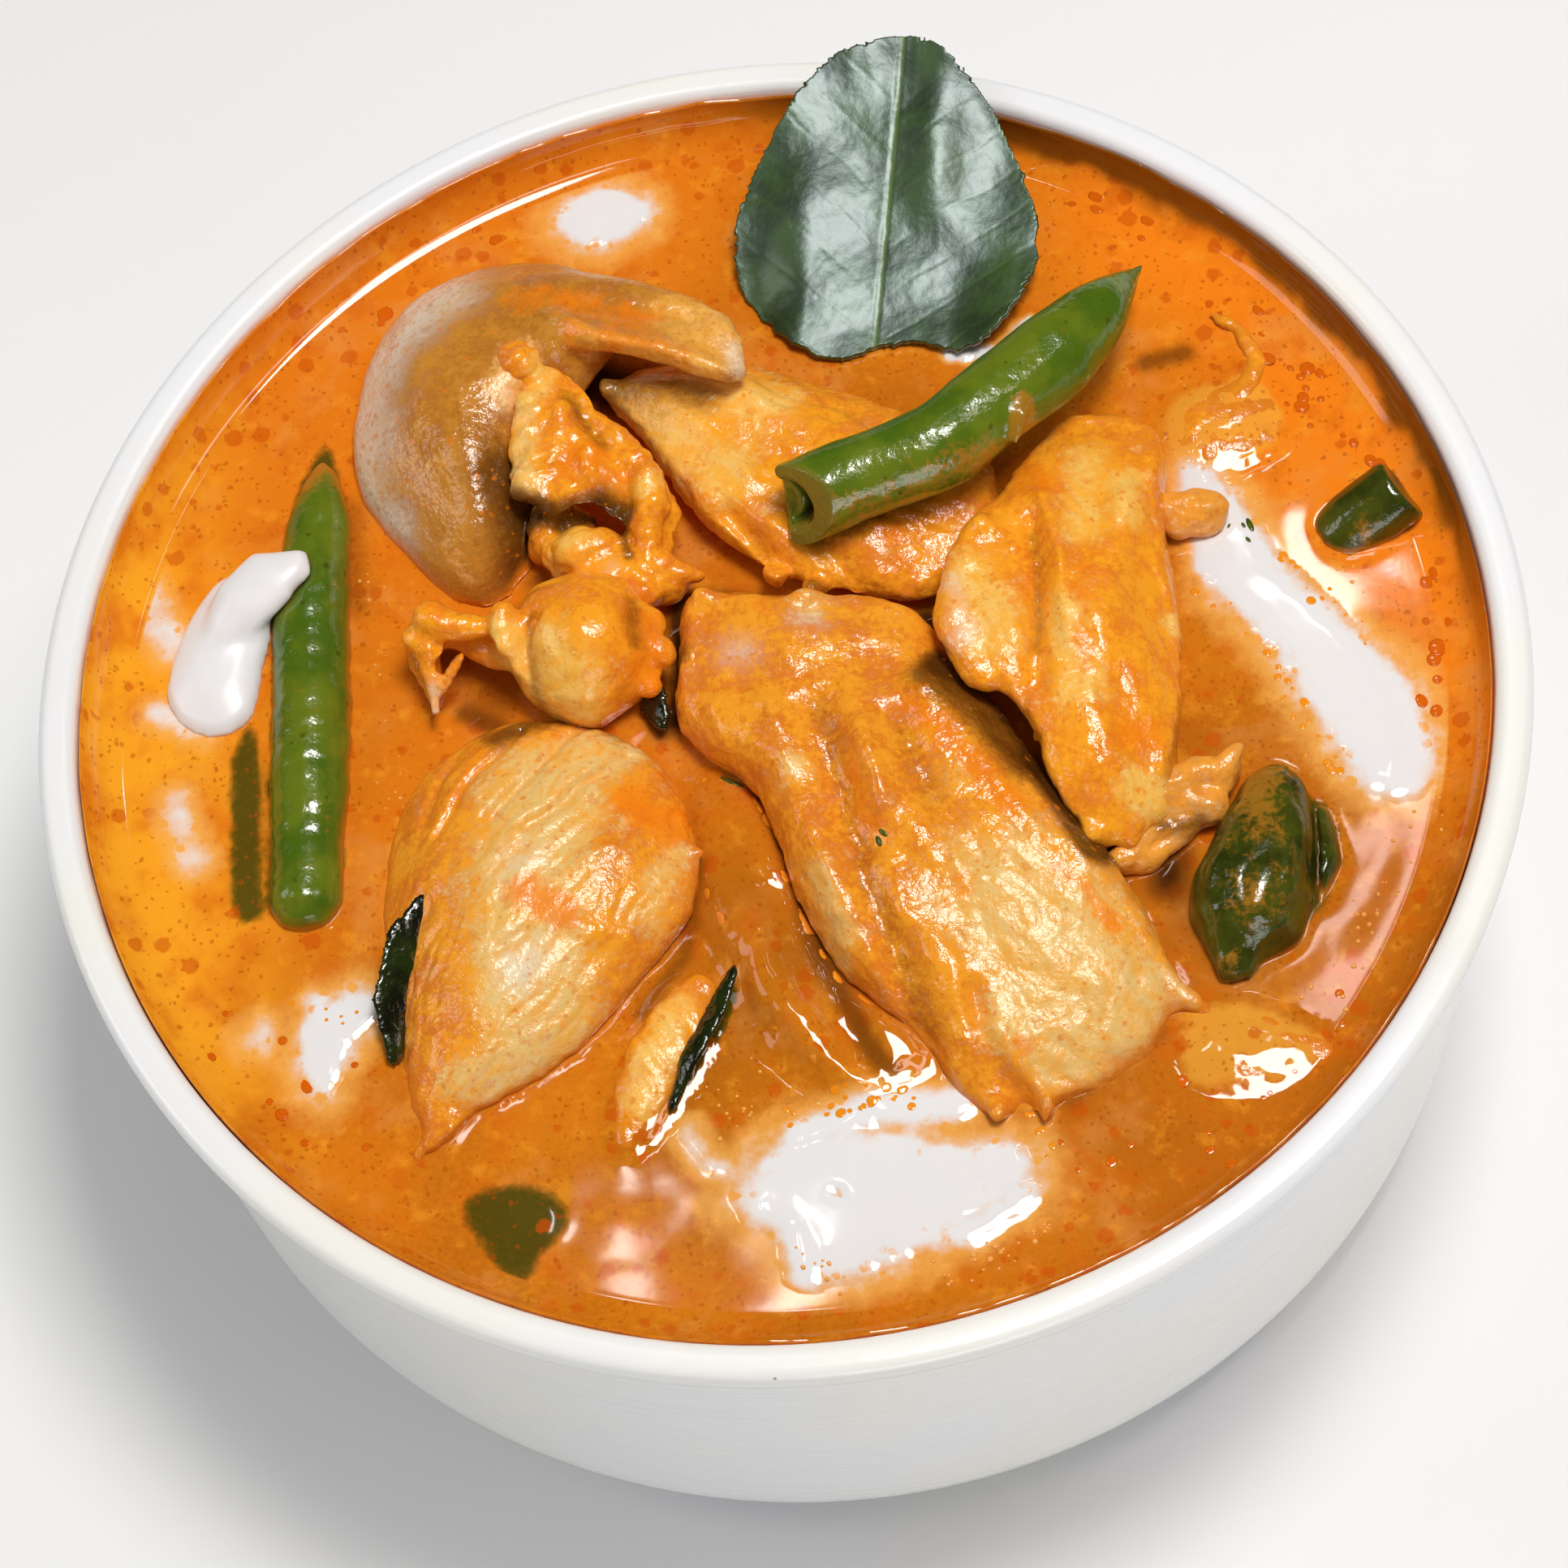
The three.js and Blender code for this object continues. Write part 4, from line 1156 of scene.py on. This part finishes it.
leaf_look, spot = new_look(
    "lime_leaf_green", Roughness=0.42, Specular_IOR_Level=1.0, Specular_Tint=(0.80, 0.97, 1.0, 1),
    Coat_Weight=0.7, Coat_Roughness=0.32, Coat_Tint=(0.90, 1.0, 1.0, 1))
leaf_cloud = between(cloud(spot, 6, 4), 0.38, 0.62)
colour = coats(
    tint(leaf_cloud, (0.045, 0.085, 0.008), (0.018, 0.036, 0.003)),
    (painted("vein"), 0.75, (0.13, 0.19, 0.025)))
finish_wet(spot, colour, 0.7, 0.07)
place(leaf, "lime_leaf", leaf_look, "lime_leaf")

# %% Leaf shreds
shred_look, spot = new_look("leaf_shred_green", Roughness=0.15, Specular_IOR_Level=0.8)
shred_cloud = between(cloud(spot, 4, 3), 0.35, 0.65)
colour = coats(
    tint(shred_cloud, (0.018, 0.028, 0.004), (0.007, 0.008, 0.003)),
    (use_group(sauce_line, Spot=spot, Reach=1.0), 0.6, (0.35, 0.14, 0.02)))
finish_wet(spot, colour, 1.1, 0.18)
for number, node in enumerate(("leaf_left", "leaf_front", "leaf_middle")):
    shred = skin(node + "_shred", node, 0.28, 3, 0)
    sculpt(shred, -60, [(swell, 4, 2, 0.12), (bundles, 8, 1.4, 0.06)], plump=0.1, seed=100 + number)
    place(shred, "lime_leaf", shred_look, node)
    greens[node] = shred

# %% [markdown]
# ## Coconut cream
#
# A spoonful of thick cream lies on the bean at the left. It is smooth and nearly white, lets
# light into itself, and takes the curry's colour where it thins out at its edge.

# %% Cream dollop
dollop = skin("cream_dollop_spoonful", "cream_dollop", 0.6, 8, 1)
sculpt(dollop, 40, [(swell, 9, 6, 0.3)], plump=0.1, seed=120)
cream_look, spot = new_look(
    "thick_cream", Roughness=0.3, Subsurface_Weight=0.4, Subsurface_Radius=(1.0, 0.8, 0.6),
    Subsurface_Scale=1.5 * MM)
colour = coats(
    tint(cloud(spot, 6, 3), (0.87, 0.86, 0.86), (0.82, 0.80, 0.80)),
    (use_group(sauce_line, Spot=spot, Reach=0.6, Blotch=3.0), 0.6, (0.86, 0.46, 0.14)))
finish_wet(spot, colour, 2.5, 0.06, 1.0)
place(dollop, "cream", cream_look, "cream_dollop")

# %% [markdown]
# ## The curry
#
# The soup is a turned body that fills the bowl. Its top is flat, then climbs the wall as a film
# up to the lip. That hollow curve catches the long lamp in one arc. A fine polar grid lets
# the surface do the rest: it drapes over the pieces that lie just under it, rises a little
# against those that stand in it, and swells where the cream lies. It also stores for the material
# how far below it the next piece is, because a soup that is half clear shows a sunken bean as a
# green blur. Each depth is found by dropping a ray on the piece's skin.

# %% Curry body
FLAT_TO, CLIMB, FILM_TOP = 70.6, 4.95, 62.9
TOP_RINGS, STEPS = 124, 660

flat_part = [(FLAT_TO * (i / TOP_RINGS) ** 0.85, SOUP) for i in range(TOP_RINGS + 1)]
climbing = arc(FLAT_TO, FILM_TOP, CLIMB, -90, 0, 12)[1:]
under = [(wall_inside(62) - 0.1, 62), (wall_inside(40) - 0.2, 40)]
under += [*arc(59.5, 17.5, 12.7, 0, -90, 5), (0, 4.8)]
curry = turned("curry_soup", flat_part + climbing + under, STEPS)


# %% What lies at and under the surface
def search_tree(meshes):
    """One search tree over all the points of several meshes, in mm."""
    corners, faces, shift = [], [], 0
    for mesh in meshes:
        points = points_of(mesh)
        corners.extend(map(tuple, points))
        faces.extend([tuple(v + shift for v in face.vertices) for face in mesh.polygons])
        shift += len(points)
    return BVHTree.FromPolygons(corners, faces)


def tree_of(pieces):
    return search_tree([piece.data for piece in pieces])


SKY = 90  # a height above all pieces, mm
DOWN = Vector((0, 0, -1))


def drop(search, x, y):
    """What a ray meets that falls from the sky at x, y: its place, normal, face and distance."""
    return search.ray_cast(Vector((x, y, SKY)), DOWN, SKY)


DEEP = 6.0  # a piece further down than this can't be seen, mm
mesh = curry.data
points = points_of(mesh)
radius = np.hypot(points[:, 0], points[:, 1])
top = points[:, 2] > SOUP - 0.5
flat = top & (points[:, 2] < SOUP + 0.01)
where = np.flatnonzero(flat)
spots = points[where]
ragged = np.stack([swell(spots, 1.6, 130), swell(spots, 1.6, 131)], axis=1)
spots[:, :2] += 0.35 * ragged

SIXTHS = np.radians(range(0, 360, 60))
RING = [(0, 0)] + [(r * math.cos(a), r * math.sin(a)) for r in (0.8, 1.6) for a in SIXTHS]


def reach_above(pieces, lowest, highest, spread=1.0):
    """How high pieces reach above the soup at each spot, as the mean over a small circle."""
    search = tree_of(pieces)
    close = np.zeros(len(spots), bool)
    for piece in pieces:
        outline = points_of(piece.data)[:, :2]
        inside = (spots[:, :2] > outline.min(axis=0) - 2) & (spots[:, :2] < outline.max(axis=0) + 2)
        close |= inside.all(axis=1)
    result = np.full(len(spots), float(lowest))
    result[close] = 0
    for dx, dy in RING:
        met = [drop(search, x + spread * dx, y + spread * dy)[0] for x, y, z in spots[close]]
        here = np.array([place.z if place else 0 for place in met]) - SOUP
        result[close] += np.clip(here, lowest, highest) / len(RING)
    return result


PALE_UNDER = ("chicken_left", "chicken_centre", "chicken_flake_right", "chicken_flake_back")
meat_depth = -reach_above([slices[node] for node in PALE_UNDER], -DEEP, 1)
green_depth = -reach_above([piece for node, piece in greens.items() if node != "bean_top"], -DEEP, 1, 0.6)
print("points of the soup's top:", len(where))

# %% Drape over sunken pieces, and rise against standing ones
slope = [slices["chicken_under"]]
drape = np.maximum(reach_above(slope, -0.2, 3.2, 1.4), reach_above(slope, -0.2, 3.2, 0.6)) + 0.2
drape = np.maximum(drape, reach_above([slices[node] for node in SUNK[1:]], -0.2, 0.9, 1.4) + 0.15)
standing = tree_of([*slices.values(), *greens.values(), dollop, leaf])
near = np.full(len(where), 3.0)
for i, (x, y, z) in enumerate(points[where]):
    found = standing.find_nearest(Vector((x, y, SOUP)), 3.0)[3]
    if found is not None:
        near[i] = found
clinging = 0.09 + 0.08 * swell(spots, 5, 145)
rise = np.clip(clinging, 0.01, 0.2) * np.exp(-near / 0.5)

# %% Pools of cream
POOLS = ("cream_right", "cream_front", "cream_back", "cream_smear")
NO_CREAM = -3.0
cream = np.full(len(where), NO_CREAM)
for node in POOLS:
    search = search_tree([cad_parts[node].data])
    for i, (x, y, z) in enumerate(spots):
        gap = search.find_nearest(Vector((x, y, SOUP)), 6.0)[3]
        if gap is None:
            continue
        inside = drop(search, x, y)[0]
        cream[i] = max(cream[i], min(1.0, 0.9 * (inside.z - SOUP)) if inside else -0.35 - 0.4 * gap)

WISPS = rows("""
1.3 1.6 48.4 18.1 48.4 12.3 48.4 7
1.4 2.4 49.1 5.8 53.3 .3 58.1 -6.2
1.5 4 60 -9.7 62.1 -16.1 61 -21.3
1.5 2.4 -5.5 -51.6 2.3 -50.2 10.6 -51
1.3 2.4 -9.3 -54.5 -11.2 -58.7
1.6 2.2 -7.5 -62 -7.3 -66.2
1.4 2 1.5 -64.5 9.7 -65.1 15.9 -62
1 2.6 -68.2 27.5 -64.9 18.4
1 2 -67.8 10.7 -62.6 7.7
1.4 2 -53.5 -27.6 -53.5 -35.1
.9 2.4 -66.5 -1 -65 -8
.8 3 -60 -30
.8 2.2 -17 -49.4 -15 -53.4
1.7 2.6 -12.6 67.1 -10.7 66.6 -8.8 66
1.6 1 25.4 38.9 30.8 38 34.6 41.2
""")
wisps = strokes(spots, WISPS)
cream = np.maximum(cream, 1.35 * wisps - 1.5 - 1.5 * np.exp(-9 * wisps))
cream -= 1.6 * strokes(spots, [(1.0, 0.6, -3.0, -58.6)])
pool_height = 0.3 * step(-0.7, 0.6, cream)

# %% Heights of the soup
level = points[where].copy()
gentle = 0.05 * swell(level, 17, 140) + 0.02 * swell(level, 6, 141)
fade = 1 - step(FLAT_TO - 5, FLAT_TO, radius[where])
points[where, 2] += np.maximum(drape, 0) + (gentle + rise + pool_height) * fade
film = top & ~flat
wavy = swell(points[film], (5, 5, 50), 142) * 0.35
points[film, 2] += wavy * step(SOUP + 1, FILM_TOP, points[film, 2])
move_points(mesh, points)

# %% What the material of the soup reads
for name, values, outside in (
        ("cream", cream, NO_CREAM), ("meat_depth", meat_depth, DEEP), ("green_depth", green_depth, DEEP)):
    every = np.full(len(points), outside)
    every[where] = values
    paint(mesh, name, every)

# painted shade on the soup: dark, nearly black at the core, in the gaps between pieces and under overhanging
# edges such as the flap
SHADES = rows("""
2.4 3 -17.6 45 -13.5 42.5 -8 40 -3 38
1.3 2 -27.5 14 -22 15
1.6 1.8 -8.5 13 -3 11.5
.9 1.5 46.5 33.4 51 33.8
1.4 1.8 17 6 21 -3
1.3 1.4 -11.5 -1 -9.8 5 -9.5 10.5
.8 2 38.5 -27 36 -30.5
.9 1.4 -34 4 -27 -1.5
.7 3.4 -36 12 -30 5.6
.8 2 -24 19 -18 14
1 1.5 -4 -10 -1.6 -20 -.6 -32 2.6 -43 5 -48
.9 1.8 -13 -2 -9.5 2 -9 12
.4 4 -7 -20 -4 -34
.8 2 25.5 -14 27.5 -24 31 -30
.7 2 36.7 -29
.7 1.2 -12 -20 -14.5 -29 -20 -35
.5 3.5 38 -32 42 -41
.6 1.6 6 8 17 5
.5 3 58 3
.6 1.6 22 -52.5 32 -47
.6 2.5 -44.6 20 -44 32
""")
paint(mesh, "shade", strokes(points, SHADES) * top)
print("drape and pools, mm:", round(float(drape.max()), 2), round(float(pool_height.max()), 2))

# %% [markdown]
# ## Colours of the curry
#
# Coconut milk and chilli oil never mix fully: the soup is orange with paler clouds, darker
# patches, countless fine red-brown specks and larger drops of red oil that gather near the wall.
# It is yellower at the far left. Painted light makes it lighter towards the back left and darker
# and browner towards the front right, and painted shade darkens it in the gaps between pieces and
# under overhanging edges. The film on the wall at the back right is brown, partly sauce dried there
# and partly painted shade under the rim. The cream field gives white pools whose ragged edges thin
# out through pale orange, because cream spreads in the soup.

# %% Masks over the curry
soup_look, spot = new_look("panang_curry", Roughness=0.05, IOR=1.45)
x, y, z = add("SeparateXYZ", spot).outputs
grit = cloud(spot, 0.7, 3, 0.7)
broad = total(cloud(spot, 20, 3), around(grit, 0.5))
# painted light: the soup is lighter towards the back left and darker towards the front right
lit = total(times(x, -0.75), times(y, 0.65), around(broad, 60))
behind = total(x, times(y, 0.45), around(broad, 20))
milky = between(cloud(spot, 9, 4, 0.6), 0.50, 0.72)
patch = between(cloud(spot, 5, 4, 0.65), 0.50, 0.68)
pale = between(cloud(spot, 3.2, 4, 0.65), 0.52, 0.72)
leftmost = times(between(x, -50, -70), between(cloud(spot, 7, 3), 0.3, 0.6))
meat = between(total(painted("meat_depth"), around(patch, 1.2)), 2.8, -0.6)
green = between(total(painted("green_depth"), around(grit, 1.6)), 3.8, 0.2)
fine = use_group(specks, Spot=spot, Spacing=0.8, Size=0.28, Share=0.55)
large = use_group(specks, Spot=spot, Spacing=2.8, Size=0.30, Share=0.5)
shade = total(painted("shade"), around(grit, 0.5))
ragged = total(around(cloud(spot, 3.2, 3, 0.6), 1.6), around(grit, 0.35))
edge = total(painted("cream"), ragged)
# painted shade and dried sauce: the film high on the wall at the back right is darkened to brown, where the
# rim shades it
wall = between(total(z, around(cloud(spot, 6, 2), 3.0)), 58.8, 60.4)
brown = times(wall, between(total(x, times(y, 0.8)), 55, 85))

# %% Curry material, from the lowest coat of colour to the highest
drops = use_group(specks, Spot=spot, Spacing=1.7, Size=0.36, Share=0.6)
white = tint(cloud(spot, 5, 3), (0.80, 0.80, 0.81), (0.88, 0.86, 0.84))
in_pool = coats(white, (times(drops, between(edge, 0.3, -0.3)), 0.85, (0.95, 0.38, 0.02)))
colour = coats(
    tint(between(broad, 0.34, 0.66), (0.52, 0.150, 0.007), (0.68, 0.205, 0.009)),
    (between(lit, -25, 60), 1, (0.80, 0.21, 0.010)),
    (between(lit, -25, -85), 1, (0.52, 0.140, 0.008)),
    (between(behind, 45, 72), 1, (0.93, 0.235, 0.010)),
    (milky, 0.4, (0.80, 0.34, 0.08)),
    (patch, 0.5, (0.66, 0.125, 0.005)),
    (pale, 0.45, (0.95, 0.37, 0.024)),
    (leftmost, 1, (0.98, 0.40, 0.020)),
    (meat, 0.6, (0.93, 0.43, 0.05)),
    (green, 0.93, (0.055, 0.060, 0.005)),
    (fine, 0.5, (0.42, 0.075, 0.003)),
    (large, 0.6, (0.62, 0.09, 0.003)),
    (between(shade, 0.05, 1.0), 0.8, (0.17, 0.045, 0.004)),
    (between(shade, 0.8, 1.8), 0.85, (0.030, 0.010, 0.003)),
    (between(edge, -2.2, -0.7), 0.7, (0.95, 0.47, 0.10)),
    (between(edge, -1.0, 0.25), 1, in_pool),
    (brown, 0.9, (0.19, 0.055, 0.004)))
finish_wet(spot, colour, 1.4, 0.0015, 2.0)
place(curry, "curry", soup_look, "curry", *POOLS)

# %% [markdown]
# ## Drops, bubbles and flecks
#
# Loose things lie on the finished surface: flat drops of red oil near the wall and round the
# cream, small bubbles in rows, and a few flecks of herb. Each is a low dome with a few dozen
# faces, and each kind is one joined mesh. A ray dropped on the finished food gives the height
# that it rests at.

# %% Scatter domes on the food
curry_top = tree_of([curry])
surface = tree_of([curry, *slices.values(), *greens.values(), dollop])
scatter = np.random.default_rng(11)
SCATTER_TO = 73  # no dome lies further out than this, mm


def domes(name, groups, flatness, look, slot, lies_on=curry_top, narrow=0.8):
    """Joined domes. A group is a count, the smallest and largest radius, a spread and a course."""
    form = bmesh.new()
    for count, small, large, spread, *course in groups:
        knots = np.array(course, float).reshape(-1, 2)
        for way in scatter.uniform(0, len(knots) - 1, int(count)):
            first = min(int(way), max(len(knots) - 2, 0))
            x, y = knots[first] + (knots[min(first + 1, len(knots) - 1)] - knots[first]) * (way - first)
            x, y = np.array([x, y]) + scatter.normal(0, spread, 2)
            size = small + (large - small) * scatter.uniform() ** 2
            found = drop(lies_on, x, y)
            covered = found[0] is None or drop(surface, x, y)[3] < found[3] - 0.02
            if covered or np.hypot(x, y) > SCATTER_TO:
                continue
            lie = found[1].to_track_quat("Z", "Y").to_matrix().to_4x4()
            across = size * scatter.uniform(narrow, narrow + 0.2)
            shape = Matrix.Diagonal((size * MM, across * MM, size * flatness * MM, 1))
            spot = Matrix.Translation(found[0] * MM) @ lie @ shape
            bmesh.ops.create_uvsphere(form, u_segments=10, v_segments=6, radius=1, matrix=spot)
    bmesh.ops.recalc_face_normals(form, faces=form.faces)
    place(add_piece(name, mesh_from(form, name)), slot, look)


def drop_look(name, colour, other):
    look, spot = new_look(name, Roughness=0.06, IOR=1.45)
    shade_with("Base Color", tint(cloud(spot, 2, 2), colour, other))
    return look


# %% Red oil: the second group follows the wall at the right
OIL_DROPS = rows("""
22 .4 1.2 1.6 70 8 66 20 61 30 54 40
10 .4 .9 4 -62 -25 -56 -42
10 .5 1.1 5 -40 62 -20 70
8 .5 1.1 3 44 60 52 52
16 .3 .8 3 22 -62 40 -57 52 -46
""")
WALL = [72 * np.array([math.cos(a), math.sin(a)]) for a in np.radians([-15, 0, 15, 30, 45])]
OIL_DROPS.insert(1, [16, 0.5, 1.2, 1.2, *np.concatenate(WALL) * 0.975])
domes("oil_drops", OIL_DROPS, 0.05, drop_look("red_oil", (0.62, 0.10, 0.003), (0.76, 0.15, 0.005)), "curry")

# %% Orange oil at the edges of the cream
EDGE_DROPS = rows("""
22 .25 .7 .8 -9 -48.5 0 -48.5 7 -49.5
22 .25 .7 .8 46.6 5 50 -2 54 -7.5 54 -16 57 -22
12 .2 .6 .8 54 8 60 0 64.5 -8
8 .2 .5 .8 18 -52 19 -60
8 .2 .5 .9 -56 -26 -49 -30
""")
orange_oil = drop_look("orange_oil", (0.93, 0.33, 0.012), (0.86, 0.24, 0.008))
domes("edge_drops", EDGE_DROPS, 0.08, orange_oil, "curry")

# %% Bubbles
BUBBLES = rows("""
34 .16 .42 .8 18.2 -65 12 -68 4.8 -69.5
12 .16 .36 .7 -4 -68.5 -8 -64
34 .14 .34 1.4 65 -27 57.4 -37.5 51.3 -46.2
22 .12 .3 .8 -42.5 25 -42.5 2 -42.5 -15
16 .14 .36 1.6 -14 -48 -9 -44
14 .14 .3 1.2 60 2 66 0 70 8
12 .14 .3 1.5 49 26 53 24
""")
domes("bubbles", BUBBLES, 0.6, drop_look("bubble_skin", (0.88, 0.34, 0.04), (0.90, 0.45, 0.12)), "curry")

# %% Herb flecks
FLECKS = rows("""
1 .7 .8 0 7.4 -23.8
1 .6 .7 0 8 -23.2
1 .9 1 0 53.6 10.4
3 .3 .5 1.2 52.6 10
2 1.2 1.5 .5 -7.3 -9.8
""")
herb_look = drop_look("herb_green", (0.035, 0.06, 0.006), (0.12, 0.14, 0.01))
domes("herb_flecks", FLECKS, 0.15, herb_look, "lime_leaf", surface, 0.35)

# %% [markdown]
# ## The floor's finish
#
# The floor is given a pale, matt material with a faint unevenness of tone.

# %% Floor finish
floor_look, spot = new_look("pale_floor", Roughness=0.9, Specular_IOR_Level=0.2)
shade_with("Base Color", tint(cloud(spot, 400, 2), (0.93, 0.93, 0.93), (0.95, 0.95, 0.95)))
floor.data.materials.append(floor_look)
